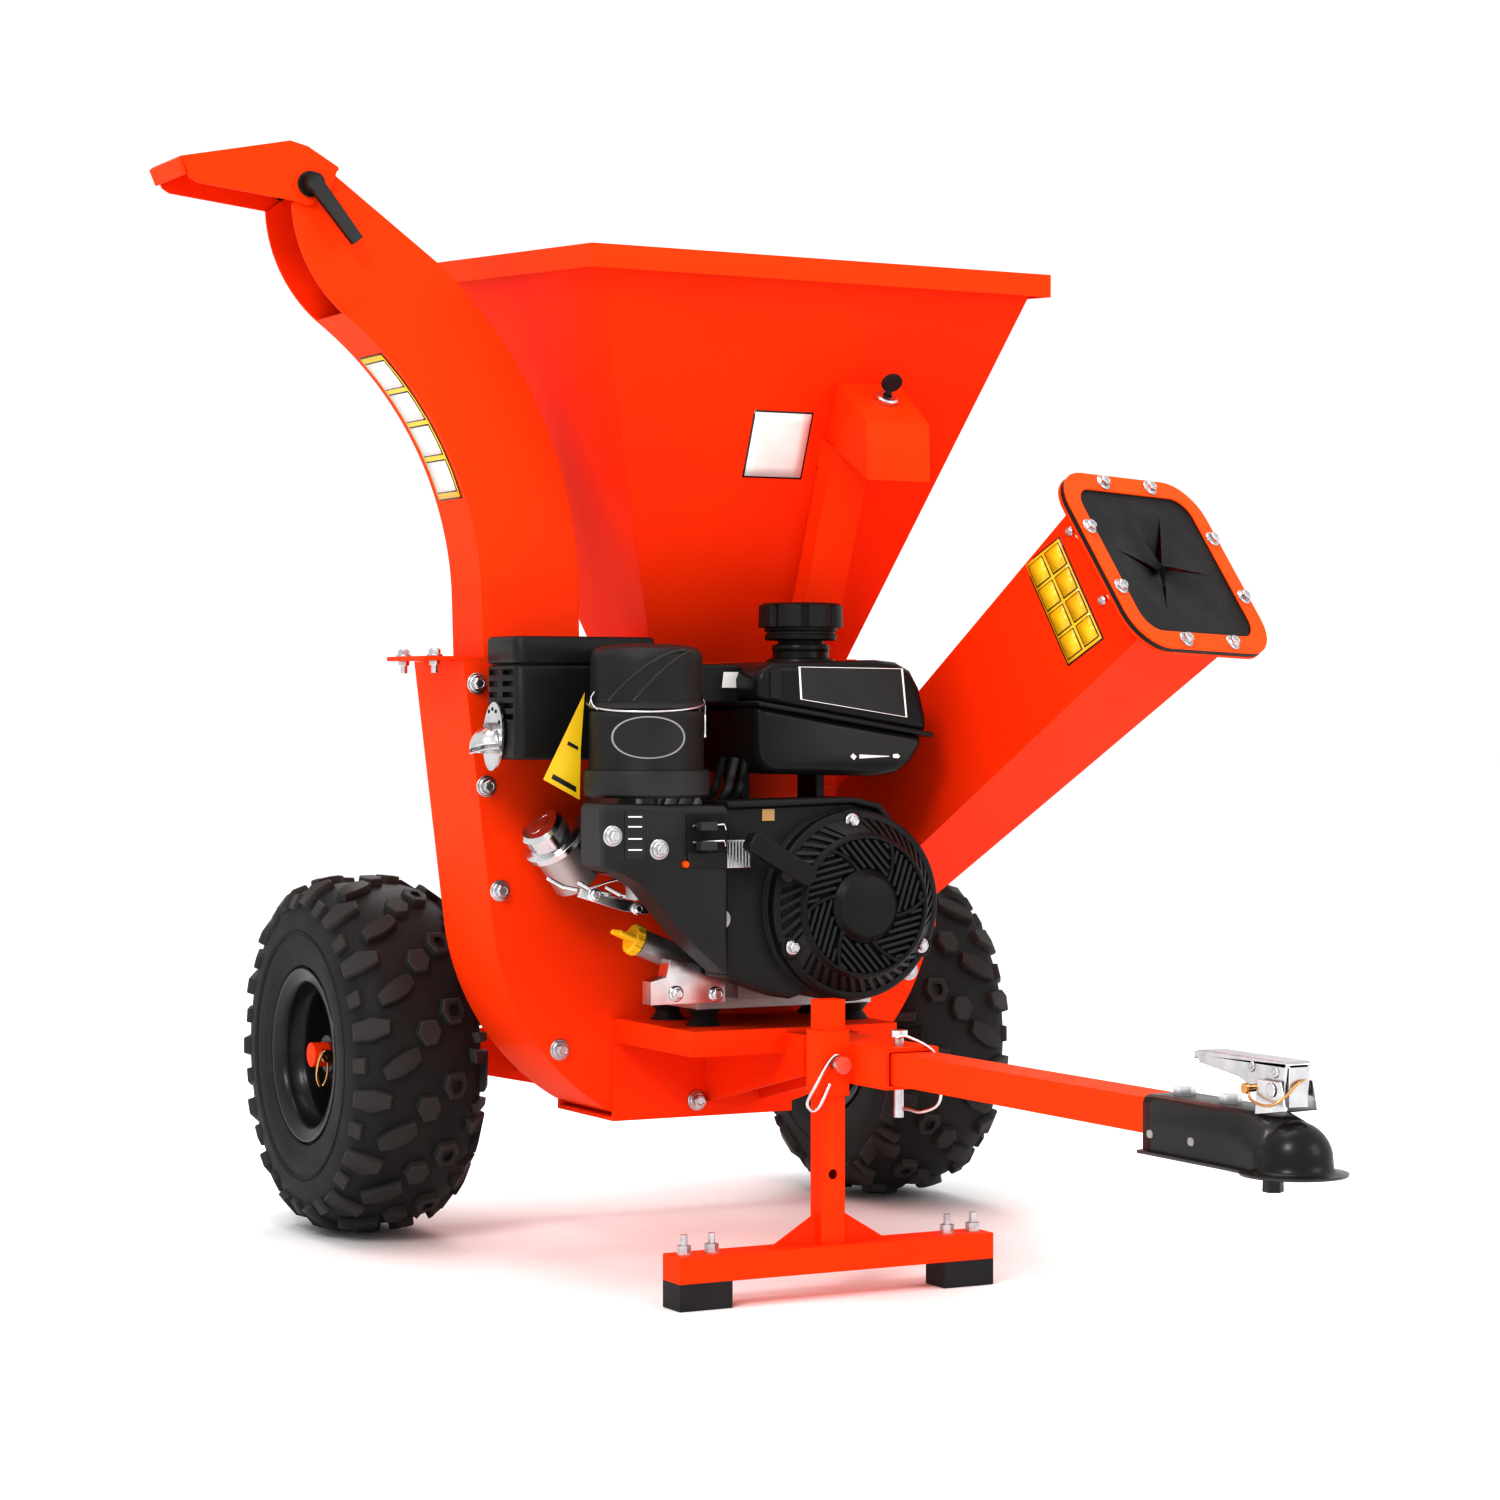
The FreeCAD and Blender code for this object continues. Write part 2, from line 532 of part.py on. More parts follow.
def make_keepers():
    """Spring keepers: a lynch pin with its ring at each end of the axle, and a wire on each hitch pin."""
    pieces = []
    for across in axle_pin_spots():
        shank = cylinder("pin_radius - 0.1", "34", ("-20", across, "tyre_radius"), "X")
        head = cylinder("7", "10", ("13.5", across, "tyre_radius"), "X")
        ring = torus("ring_radius", "1.6", ("23", across, "tyre_radius - ring_radius + 4"), "X")
        pieces.append(fuse(shank, head, ring))
    middle = stand_middle()
    rear = "stand_x - sleeve_long / 2"
    front_eye = torus("6.4", "1.5", (rear + " + sleeve_long + 3", middle, "tongue_z"), "X")
    rear_eye = torus("6.4", "1.5", (rear + " - 12", middle, "tongue_z"), "X")
    side = middle + " - sleeve_wide / 2 - 4"
    bow = cylinder("1.5", "sleeve_long + 15", (rear + " - 12", side, "tongue_z"), "X")
    ties = [box([(along + " - 1.2", along + " + 1.2"), (side, middle + " - 5.5"),
                 ("tongue_z - 1.2", "tongue_z + 1.2")])
            for along in (rear + " + sleeve_long + 3", rear + " - 12")]
    pieces.append(fuse(front_eye, rear_eye, bow, *ties))
    low = "tongue_z - receiver_high / 2"
    top_eye = torus("6.4", "1.5", ("tongue_pin_x", "0", low + " + receiver_high + 4"), "Z")
    low_eye = torus("6.4", "1.5", ("tongue_pin_x", "0", low + " - 20"), "Z")
    beside = "receiver_wide / 2 + 4"
    wire = cylinder("1.5", "receiver_high + 24", ("tongue_pin_x", beside, low + " - 20"), "Z")
    bars = [box([("tongue_pin_x - 1.2", "tongue_pin_x + 1.2"), ("5.5", beside), (height + " - 1.2", height + " + 1.2")])
            for height in (low + " + receiver_high + 4", low + " - 20")]
    pieces.append(fuse(top_eye, low_eye, wire, *bars))
    node("pin_keepers", group(*pieces))


# ---- rotor housing ---------------------------------------------------------------------------

def housing_face(inset, x):
    """The housing's outline: a scroll round the rotor that opens into the discharge on the right."""
    crank_y = size("crank_y")
    crank_z = size("crank_z")
    radius = size("scroll_radius") - inset
    top = size("housing_top") - inset
    low = crank_z - radius
    angle = math.radians(38)
    shoulder = Vec(x, crank_y + radius * math.cos(angle), crank_z + radius * math.sin(angle))
    side = Vec(x, crank_y + radius, crank_z)
    bottom = Vec(x, crank_y, low)
    corner = Vec(x, 150 - inset, top)
    discharge = Vec(x, -291 + inset, top)
    waist = Vec(x, -258 + inset, 317)
    bend = Vec(x, -214 + 0.8 * inset, 216 + 0.7 * inset)
    heel = Vec(x, -140, low + 8)
    foot = Vec(x, -122, low)
    edges = [Part.makeLine(corner, shoulder), Part.Arc(shoulder, side, bottom).toShape(),
             Part.makeLine(bottom, foot), Part.makeLine(foot, heel), Part.Arc(heel, bend, waist).toShape(),
             Part.makeLine(waist, discharge), Part.makeLine(discharge, corner)]
    return Part.Face(Part.Wire(edges))


def solid_box(x_span, y_span, z_span):
    """A plain box between spans of numbers."""
    base = Vec(x_span[0], y_span[0], z_span[0])
    return Part.makeBox(x_span[1] - x_span[0], y_span[1] - y_span[0], z_span[1] - z_span[0], base)


def solid_cylinder(radius, length, base, direction=(1, 0, 0)):
    """A plain cylinder from numbers."""
    return Part.makeCylinder(radius, length, Vec(*base), Vec(*direction))


def make_housing():
    """The scroll-shaped drum with its rear wall, and the bolted front plate that carries the engine."""
    gauge = size("sheet")
    rear = size("housing_rear")
    front = size("plate_front")
    crank = (size("crank_y"), size("crank_z"))
    top = size("housing_top")
    outer = housing_face(0, rear).extrude(Vec(front - gauge - rear, 0, 0))
    inner = housing_face(gauge, rear + gauge).extrude(Vec(front - rear, 0, 0))
    throat_y = (crank[0] - size("throat_half") + 6, crank[0] + size("throat_half") - 6)
    throat = solid_box((rear + gauge + 4, front - gauge - 4), throat_y, (top - 20, top + 5))
    exit_x = (size("chute_right") + 3, front - gauge - 1)
    chute_exit = solid_box(exit_x, (-267, -172), (top - 20, top + 5))
    shaft = solid_cylinder(20, 3 * gauge, (rear - gauge, crank[0], crank[1]))
    drum = outer.cut(inner).cut(throat).cut(chute_exit).cut(shaft)
    for spot in chute_bolt_spots():
        drum = drum.cut(solid_cylinder(3.6, 20, spot + (top - 10,), (0, 0, 1)))
    node("housing_drum", made(drum))
    plate = housing_face(0, front - gauge).extrude(Vec(gauge, 0, 0))
    nose = solid_cylinder(30, 3 * gauge, (front - 2 * gauge, crank[0], crank[1]))
    port = feed_prism("root_wide", "root_high", size("feed_wall"), -560, 40)
    plate = plate.cut(nose).cut(port)
    for spot in housing_bolt_spots():
        plate = plate.cut(solid_cylinder(4.1, 3 * gauge, (front - 2 * gauge,) + spot))
    node("housing_front", made(plate))


def housing_bolt_spots():
    """Bolts round the edge of the front plate, on the scroll side and on the round side."""
    spots = [(-277, 562), (-267, 464), (-253, 364), (-190, 209), cradle_bolt()]
    reach = size("scroll_radius") - 12
    for degrees in (-52, -24, 40):
        angle = math.radians(degrees)
        spots.append((size("crank_y") + reach * math.cos(angle), size("crank_z") + reach * math.sin(angle)))
    spots.append((138, 566))
    return spots


def cradle_bolt():
    """The bolt that goes through both the cradle and the front plate."""
    return size("cradle_bolt_y"), size("cradle_bolt_z")


def make_housing_bolts():
    """Domed flange bolts on the front plate and upright ones on the discharge flange."""
    bolts = []
    front = size("plate_front")
    for spot in housing_bolt_spots():
        start = front + (size("sheet") if spot == cradle_bolt() else 0)
        washer = solid_cylinder(10.5, 2, (start,) + spot)
        head = Part.makeCone(8.5, 6, 6, Vec(start + 2, *spot), Vec(1, 0, 0))
        shank = solid_cylinder(4, start - front + 12, (front - 12,) + spot)
        bolts.append(washer.fuse([head, shank]).removeSplitter())
    for spot in chute_bolt_spots():
        head = Part.makeCylinder(6, 6, Vec(*spot, size("housing_top") + 4))
        shank = Part.makeCylinder(3.5, 10, Vec(*spot, size("housing_top") - 6))
        bolts.append(head.fuse(shank).removeSplitter())
    node("housing_bolts", made(Part.makeCompound(bolts)))


def chute_bolt_spots():
    """Bolts through the discharge chute's base flange, outside the drum's wall."""
    return [(214, -316), (290, -316), (214, -150), (286, -150)]


def make_discharge():
    """The curved discharge chute: two side plates, a full outer wall and a shorter inner wall."""
    wall = size("chute_wall")
    right = size("chute_right")
    front = size("plate_front")
    low = size("housing_top") + size("sheet")
    face = discharge_face(right, low, 0)
    solid = face.extrude(Vec(front - right, 0, 0))
    bore = discharge_face(right + wall, low, wall).extrude(Vec(front - right - 2 * wall, 0, 0))
    flange = solid_box((205, front), (-330, -138), (size("housing_top"), low))
    exit_hole = solid_box((right + wall, front - wall), (-267, -172), (low - 10, low + 1))
    body = solid.cut(bore).fuse(flange).cut(exit_hole)
    pivot = solid_cylinder(5.3, 200, (right - 60, size("hood_y"), size("hood_z")))
    for spot in chute_bolt_spots():
        body = body.cut(Part.makeCylinder(3.6, 20, Vec(*spot, low - 10)))
    node("discharge_chute", made(body.cut(pivot).removeSplitter()))


def discharge_face(x, low, wall):
    """The chute seen from the front; a wall thickness above zero gives the passage inside it."""
    open_end = 60 if wall else 0
    outer = [Vec(x, -169 - wall, low - open_end / 10), Vec(x, -170 - wall, 672), Vec(x, -211 - wall, 824 - wall),
             Vec(x, -315 - wall, 958 - wall), Vec(x, -424 - wall, 1037 - wall)]
    inner = [Vec(x, -463, 1006), Vec(x, -450, 955), Vec(x, -411 + wall, 906 + wall),
             Vec(x, -304 + wall, 778), Vec(x, -272 + wall, 655), Vec(x, -270 + wall, low - open_end / 10)]
    edges = [Part.makeLine(outer[0], outer[1]), Part.Arc(outer[1], outer[2], outer[3]).toShape(),
             Part.makeLine(outer[3], outer[4])]
    if wall:
        past = [Vec(x, -470, 1080), Vec(x, -560, 1000), Vec(x, -424, 903)]
        stop = Vec(x, -411 + wall, 906 + wall)
        edges += [Part.makeLine(outer[4], past[0]), Part.makeLine(past[0], past[1]),
                  Part.makeLine(past[1], past[2]), Part.makeLine(past[2], stop)]
    else:
        edges += [Part.makeLine(outer[4], inner[0]), Part.Arc(inner[0], inner[1], inner[2]).toShape()]
    edges += [Part.Arc(inner[2], inner[3], inner[4]).toShape(), Part.makeLine(inner[4], inner[5]),
              Part.makeLine(inner[5], outer[0])]
    return Part.Face(Part.Wire(edges))


def make_hood():
    """The deflector hood: a bent top plate between two cheeks that pivot on the chute's mouth."""
    gap = size("hood_gap")
    wall = size("chute_wall")
    left = size("chute_right") - gap - wall
    right = size("plate_front") + gap
    pivot = (size("hood_y"), size("hood_z"))
    outline = [(-572, 1041), (-466, 1063), (-449, 1059), (-419, 1042), (-428, 1014), (-447, 1004), (-464, 1008),
               (-556, 1018), (-563, 1022)]
    corners = [Vec(left, *point) for point in outline]
    cheek = Part.Face(Part.makePolygon(corners + corners[:1])).extrude(Vec(wall, 0, 0))
    other = cheek.translated(Vec(right - left, 0, 0))
    ridge = outline[:4]
    below = [(y + 0.6, z - wall) for y, z in reversed(ridge)]
    lid = [Vec(left, *point) for point in ridge + below]
    top = Part.Face(Part.makePolygon(lid + lid[:1])).extrude(Vec(right + wall - left, 0, 0))
    tip = [(-572, 1041), (-575, 1038), (-569, 1024), (-566, 1025), (-571, 1038)]
    front = [Vec(left, *point) for point in tip]
    nose = Part.Face(Part.makePolygon(front + front[:1])).extrude(Vec(right + wall - left, 0, 0))
    hood = cheek.fuse([other, top, nose])
    hood = hood.cut(solid_cylinder(5.3, 200, (left - 50,) + pivot))
    node("deflector_hood", made(hood.removeSplitter()))


def make_clamp_levers():
    """Two clamp levers, each with its stud through a cheek of the hood and a side of the chute."""
    pivot = (size("hood_y"), size("hood_z"))
    gap = size("hood_gap")
    wall = size("chute_wall")
    for name, face, sign, reach in (("clamp_lever_front", size("plate_front") + gap + wall, 1, (40, -52)),
                                    ("clamp_lever_rear", size("chute_right") - gap - wall, -1, (6, -52))):
        washer = solid_cylinder(12, 2, (face + 0.4 * sign,) + pivot, (sign, 0, 0))
        hub = solid_cylinder(9, 13, (face + 2.4 * sign,) + pivot, (sign, 0, 0))
        stud = solid_cylinder(5, 14, (face + 3 * sign,) + pivot, (-sign, 0, 0))
        length = math.hypot(*reach)
        side = Vec(0, -reach[1] / length, reach[0] / length) * 7
        base = Vec(face + 9 * sign, *pivot)
        tip = base + Vec(5 * sign, *reach)
        corners = [base - side, base + side, tip + side * 0.8, tip - side * 0.8]
        arm = Part.Face(Part.makePolygon(corners + corners[:1])).extrude(Vec(7 * sign, 0, 0))
        node(name, made(washer.fuse([hub, stud, arm]).removeSplitter()))


# ---- hopper ----------------------------------------------------------------------------------

def hopper_loft(inset, low, lift):
    """The four-sided funnel, shrunk all round by an inset."""
    crank_y = size("crank_y")
    rear = size("housing_rear")
    front = size("plate_front")
    bottom_half = size("throat_half") - inset
    top_half = size("hopper_half") - inset
    bottom = [Vec(rear + inset, crank_y - bottom_half, low), Vec(front - inset, crank_y - bottom_half, low),
              Vec(front - inset, crank_y + bottom_half, low), Vec(rear + inset, crank_y + bottom_half, low)]
    rear_x = size("hopper_rear") + inset
    front_x = size("hopper_front") - inset
    rear_z = size("hopper_rear_z") + lift
    front_z = size("hopper_front_z") + lift
    top = [Vec(rear_x, crank_y - top_half, rear_z), Vec(front_x, crank_y - top_half, front_z),
           Vec(front_x, crank_y + top_half, front_z), Vec(rear_x, crank_y + top_half, rear_z)]
    wires = [Part.makePolygon(corners + corners[:1]) for corners in (bottom, top)]
    return Part.makeLoft(wires, True, True)


def make_hopper():
    """The big top hopper: a folded-steel funnel with a turned-out rim band and a base flange."""
    low = size("housing_top")
    wall = size("hopper_wall")
    out = size("rim_out")
    band = size("rim_band")
    crank_y = size("crank_y")
    funnel = hopper_loft(0, low, 0)
    half = size("hopper_half") + out
    rear_x = size("hopper_rear") - out
    front_x = size("hopper_front") + out
    rise = (size("hopper_rear_z") - size("hopper_front_z")) / (size("hopper_front") - size("hopper_rear"))
    front_z = size("hopper_front_z") - out * rise
    rear_z = size("hopper_rear_z") + out * rise
    side = [Vec(rear_x, crank_y - half, rear_z - band), Vec(front_x, crank_y - half, front_z - band),
            Vec(front_x, crank_y - half, front_z), Vec(rear_x, crank_y - half, rear_z)]
    rim = Part.Face(Part.makePolygon(side + side[:1])).extrude(Vec(0, 2 * half, 0))
    flange = solid_box((size("housing_rear") - 10, size("plate_front")),
                       (crank_y - size("throat_half") - 14, crank_y + size("throat_half") + 14), (low, low + 4))
    inside = hopper_loft(wall, low - 1, 2)
    lip_cut = [Vec(rear_x + 2.5, crank_y - half + 2.5, rear_z - band - 30),
               Vec(front_x - 2.5, crank_y - half + 2.5, front_z - band - 30),
               Vec(front_x - 2.5, crank_y - half + 2.5, front_z - 3),
               Vec(rear_x + 2.5, crank_y - half + 2.5, rear_z - 3)]
    under = Part.Face(Part.makePolygon(lip_cut + lip_cut[:1])).extrude(Vec(0, 2 * half - 5, 0))
    band_shell = rim.cut(under)
    node("hopper", made(funnel.fuse([band_shell, flange]).cut(inside).removeSplitter()))


def wall_turn():
    """The slope of the hopper's front wall, as a turn about Y."""
    run = size("hopper_front") - size("plate_front")
    climb = size("hopper_front_z") - size("housing_top")
    return FreeCAD.Rotation(Vec(0, 1, 0), math.degrees(math.atan2(run, climb)))


def on_wall(x_span, y_span, z_span):
    """A box on the hopper's front wall: out from the wall, across it, and up along it."""
    shape = solid_box(x_span, y_span, z_span)
    shape.Placement = FreeCAD.Placement(Vec(size("plate_front"), 0, size("housing_top")), wall_turn())
    return shape


def on_wall_prism(corners, across):
    """A prism on the hopper's front wall, from (out, up) corners and a span across the machine."""
    points = [Vec(out, across[0], up) for out, up in corners]
    shape = Part.Face(Part.makePolygon(points + points[:1])).extrude(Vec(0, across[1] - across[0], 0))
    shape.Placement = FreeCAD.Placement(Vec(size("plate_front"), 0, size("housing_top")), wall_turn())
    return shape


def make_switch_box():
    """The ignition switch's sheet-metal box with its sloping top, its flange and the cable channel below."""
    wall = size("box_wall")
    right = size("box_right")
    left = size("box_left")
    high = size("box_high")
    low = size("box_low")
    outer = [(0.6, high), (size("box_front"), size("box_front_high")), (size("box_deep"), size("box_front_low")),
             (0.6, low)]
    inner = [(-2, high - wall), (size("box_front") - 1.4 * wall, size("box_front_high") - wall),
             (size("box_deep") - 1.6 * wall, size("box_front_low") + wall), (-2, low + wall)]
    shell = on_wall_prism(outer, (right, left)).cut(on_wall_prism(inner, (right + wall, left - wall)))
    flange = on_wall((0.6, wall), (right - 6, left - 20), (low - 26, low + 2))
    hole = lock_cylinder(7.4, -8, 6)
    out = size("channel_out")
    sides = (size("channel_right"), size("channel_left"))
    foot = size("channel_low")
    channel = on_wall((0.6, out), sides, (foot, low)).cut(
        on_wall((0, out - wall), (sides[0] + wall, sides[1] - wall), (foot - 10, low + 10)))
    node("switch_box", made(shell.fuse([flange, channel]).cut(hole).removeSplitter()))


def lock_frame():
    """The lock's own frame: its middle on the box's sloping top, with Z out of that top."""
    rise = size("box_front_high") - size("box_high")
    run = size("box_front") - 0.6
    slope = math.atan2(-rise, run)
    share = size("lock_in") / math.hypot(rise, run)
    local = Vec(0.6 + run * share, size("lock_y"), size("box_high") + rise * share)
    wall = FreeCAD.Placement(Vec(size("plate_front"), 0, size("housing_top")), wall_turn())
    turn = FreeCAD.Rotation(Vec(0, 1, 0), math.degrees(slope))
    return FreeCAD.Placement(wall.multVec(local), wall_turn().multiply(turn))


def lock_cylinder(radius, low, high):
    """A cylinder on the lock's axis between two heights above the box's top."""
    shape = Part.makeCylinder(radius, high - low, Vec(0, 0, low))
    shape.Placement = lock_frame()
    return shape


def make_switch():
    """The lock cylinder in the box's top and the key that turns in it."""
    barrel = lock_cylinder(6.6, -18, 6)
    collar = lock_cylinder(12, 0.2, 6.2)
    node("switch_lock", made(barrel.fuse(collar).cut(lock_cylinder(4.3, -6, 10)).removeSplitter()))
    bows = [solid_box((-2, 2), (-11, 11), (10, 30)), solid_box((-6, 6), (-6, 6), (7, 12))]
    for bow in bows:
        bow.Placement = lock_frame()
    node("ignition_key", made(lock_cylinder(4, -4, 10).fuse(bows).removeSplitter()))


# ---- feed chute ------------------------------------------------------------------------------

def feed_frame():
    """The feed chute's own frame: its mouth's middle, with Z out of the mouth and X across it."""
    out = Vec(0.722, 0.283, 0.632)
    out.normalize()
    across = Vec(-0.31, 0.95, -0.07)
    across = across - out * across.dot(out)
    across.normalize()
    down = out.cross(across)
    matrix = FreeCAD.Matrix(across.x, down.x, out.x, size("mouth_x"), across.y, down.y, out.y, size("mouth_y"),
                            across.z, down.z, out.z, size("mouth_z"), 0, 0, 0, 1)
    return FreeCAD.Placement(matrix)


def mouth_frame():
    """The mouth's flange is welded on a few degrees off square: its middle, with Z out of the mouth."""
    out = Vec(0.784, 0.243, 0.571)
    out.normalize()
    across = Vec(-0.276, 0.961, -0.03)
    across = across - out * across.dot(out)
    across.normalize()
    down = out.cross(across)
    matrix = FreeCAD.Matrix(across.x, down.x, out.x, size("mouth_x"), across.y, down.y, out.y, size("mouth_y"),
                            across.z, down.z, out.z, size("mouth_z"), 0, 0, 0, 1)
    return FreeCAD.Placement(matrix)


def feed_prism(wide, high, inset, start, end):
    """A straight prism along the feed chute's axis, used to open the housing's front plate."""
    half_x = size(wide) / 2 - inset
    half_y = size(high) / 2 - inset
    shape = solid_box((-half_x, half_x), (-half_y, half_y), (start, end))
    shape.Placement = feed_frame()
    return shape


def feed_corners(inset, along):
    """The four corners of the tapering feed chute at a place along its axis, shrunk all round by an inset."""
    share = min(max(-along / size("feed_long"), 0), 1.3)
    half_x = (size("feed_wide") * (1 - share) + size("root_wide") * share) / 2 - inset
    half_y = (size("feed_high") * (1 - share) + size("root_high") * share) / 2 - inset
    return [Vec(-half_x, -half_y, along), Vec(half_x, -half_y, along), Vec(half_x, half_y, along),
            Vec(-half_x, half_y, along)]


def loft_between(corner_sets):
    """A straight-sided solid through outlines, set in the feed chute's frame."""
    wires = [Part.makePolygon(corners + corners[:1]) for corners in corner_sets]
    shape = Part.makeLoft(wires, True, True)
    shape.Placement = feed_frame()
    return shape


def feed_taper(inset, start, end):
    """The space inside the tapering feed chute, shrunk all round by an inset."""
    return loft_between([feed_corners(inset, along) for along in (start, end)])


def feed_walls(wall, start, end):
    """The chute's four flat walls, mitred and welded at their corners."""
    walls = []
    for side in range(4):
        after = (side + 1) % 4
        sections = []
        for along in (start, end):
            outer = feed_corners(0, along)
            inner = feed_corners(wall, along)
            sections.append([outer[side], outer[after], inner[after], inner[side]])
        walls.append(loft_between(sections))
    return walls


def mouth_plate(half, radius, low, high):
    """A square plate with rounded corners across the chute's mouth."""
    plate = Part.makeBox(2 * half, 2 * half, high - low, Vec(-half, -half, low))
    upright = [edge for edge in plate.Edges if abs(edge.Vertexes[0].Point.z - edge.Vertexes[1].Point.z) > 0.5]
    return plate.makeFillet(radius, upright)


def mouth_bolt_spots():
    """Eight bolts round the mouth, two to a side."""
    reach = size("mouth_size") / 2 - 11
    near = size("mouth_size") * 0.17
    spots = []
    for quarter in range(4):
        angle = math.radians(90 * quarter)
        for along in (-near, near):
            spots.append((reach * math.cos(angle) - along * math.sin(angle),
                          reach * math.sin(angle) + along * math.cos(angle)))
    return spots


def mouth_holes(low, high):
    """The eight bolt holes of the mouth between two heights."""
    return Part.makeCompound([Part.makeCylinder(3.6, high - low, Vec(x, y, low)) for x, y in mouth_bolt_spots()])


def in_mouth(shape):
    """A shape drawn about the mouth's middle, put in its place."""
    shape.Placement = mouth_frame()
    return shape


def make_feed():
    """The side feed chute with its back flange, the slit rubber curtain, and the ring that clamps it."""
    half = size("mouth_size") / 2
    corner = size("mouth_round")
    start = -1.3 * size("feed_long")
    past = 25
    plate = size("plate_front")
    behind = solid_box((-200, plate), (-100, 400), (100, 700))
    beyond = in_mouth(solid_box((-200, 200), (-200, 200), (-1.5, 80)))
    passage = feed_taper(0, start, past)
    flange = in_mouth(mouth_plate(half, corner, -3, 0).cut(mouth_holes(-20, 20)))
    root = solid_box((plate, plate + 3), (100, 232), (316, 462))
    walls = [wall.cut(behind).cut(beyond) for wall in feed_walls(size("feed_wall"), start, past)]
    node("feed_chute", made(Part.makeCompound(walls + [flange.cut(passage), root.cut(passage)])))
    curtain = mouth_plate(half - 0.5, corner, 0, 4).cut(mouth_holes(-20, 20))
    for step in range(3):
        slit = solid_box((-1, 1), (-66, 66), (-5, 15))
        slit.Placement = FreeCAD.Placement(Vec(0, 0, 0), FreeCAD.Rotation(Vec(0, 0, 1), 22 + 60 * step))
        curtain = curtain.cut(slit)
    node("feed_curtain", made(in_mouth(curtain)))
    opening = mouth_plate(size("mouth_open") / 2, corner - 20, -40, 40)
    node("feed_ring", made(in_mouth(mouth_plate(half, corner, 4, 7).cut(opening).cut(mouth_holes(-20, 20)))))
    bolts = []
    for x, y in mouth_bolt_spots():
        shank = Part.makeCylinder(3.5, 13, Vec(x, y, -6))
        head = Part.makeCone(7, 4.5, 4, Vec(x, y, 7))
        nut = Part.makeCylinder(6, 5, Vec(x, y, -8))
        bolts.append(in_mouth(shank.fuse([head, nut]).removeSplitter()))
    node("feed_bolts", made(Part.makeCompound(bolts)))


# ---- rotor -----------------------------------------------------------------------------------

CRANK = ("crank_y", "crank_z")


def on_crank(x):
    """A place on the crankshaft's axis."""
    return (x,) + CRANK


def blade_box(way, side):
    """One shredding blade behind the disc: across the machine or upright, on one side of the crank."""
    near, far = "(rotor_radius - 150)", "(rotor_radius - 6)"
    width = ("-22", "22")
    reach = (near, far) if side == "+" else ("-" + far, "-" + near)
    across, upright = (reach, width) if way == "across" else (width, reach)
    return box([("disc_x - 10", "disc_x"), tuple("crank_y + " + edge for edge in across),
                tuple("crank_z + " + edge for edge in upright)])


def make_rotor():
    """The cutting disc on its hub, its two knives, its four shredding blades and the crankshaft."""
    disc = cylinder("rotor_radius", "disc_thick", on_crank("disc_x"), "X")
    hub = cylinder("32", "60", on_crank("disc_x - 60"), "X")
    bore = cylinder("shaft_radius + 0.05", "100", on_crank("disc_x - 70"), "X")
    windows = [box([("disc_x - 2", "disc_x + disc_thick + 2"), ("crank_y + %s - 9" % way, "crank_y + %s + 9" % way),
                    ("crank_z + %s - 50" % rise, "crank_z + %s + 50" % rise)])
               for way, rise in (("20", "120"), ("0 - 20", "0 - 120"))]
    node("rotor_disc", cut(fuse(disc, hub), bore, *windows))
    front = "disc_x + disc_thick"
    knives = [box([(front, front + " + 8"), ("crank_y + %s" % low, "crank_y + %s" % high),
                   ("crank_z + %s - 52" % rise, "crank_z + %s + 52" % rise)])
              for low, high, rise in (("30", "64", "120"), ("0 - 64", "0 - 30", "0 - 120"))]
    node("chipper_knives", group(*knives))
    blades = [blade_box(way, side) for way in ("across", "upright") for side in "+-"]
    node("shredder_blades", group(*blades))
    shaft = cylinder("shaft_radius", "330", on_crank("160"), "X")
    web = cylinder("34", "14", on_crank("case_rear + 44"), "X")
    node("crankshaft", fuse(shaft, web))


def make_rear_bearing():
    """The flanged bearing that carries the crankshaft's rear end, outside the drum's rear wall."""
    flange = cylinder("bearing_radius", "7", on_crank("housing_rear - 7"), "X")
    boss = cylinder("27", "18", on_crank("housing_rear - 25"), "X")
    bore = cylinder("shaft_radius + 0.05", "60", on_crank("housing_rear - 40"), "X")
    bolts = [cylinder("5", "6", ("housing_rear - 13", "crank_y %s 25" % side, "crank_z %s 25" % rise), "X")
             for side in "+-" for rise in "+-"]
    node("rear_bearing", cut(fuse(flange, boss, *bolts), bore))


def make_bedknife():
    """The fixed anvil bar beside the feed port, on the front plate's inner face."""
    inner = "plate_front - sheet"
    bar = box([(inner + " - 7", inner), ("crank_y + 62", "crank_y + 190"), ("crank_z - 62", "crank_z - 34")])
    node("bedknife", bar)


# ---- engine ----------------------------------------------------------------------------------

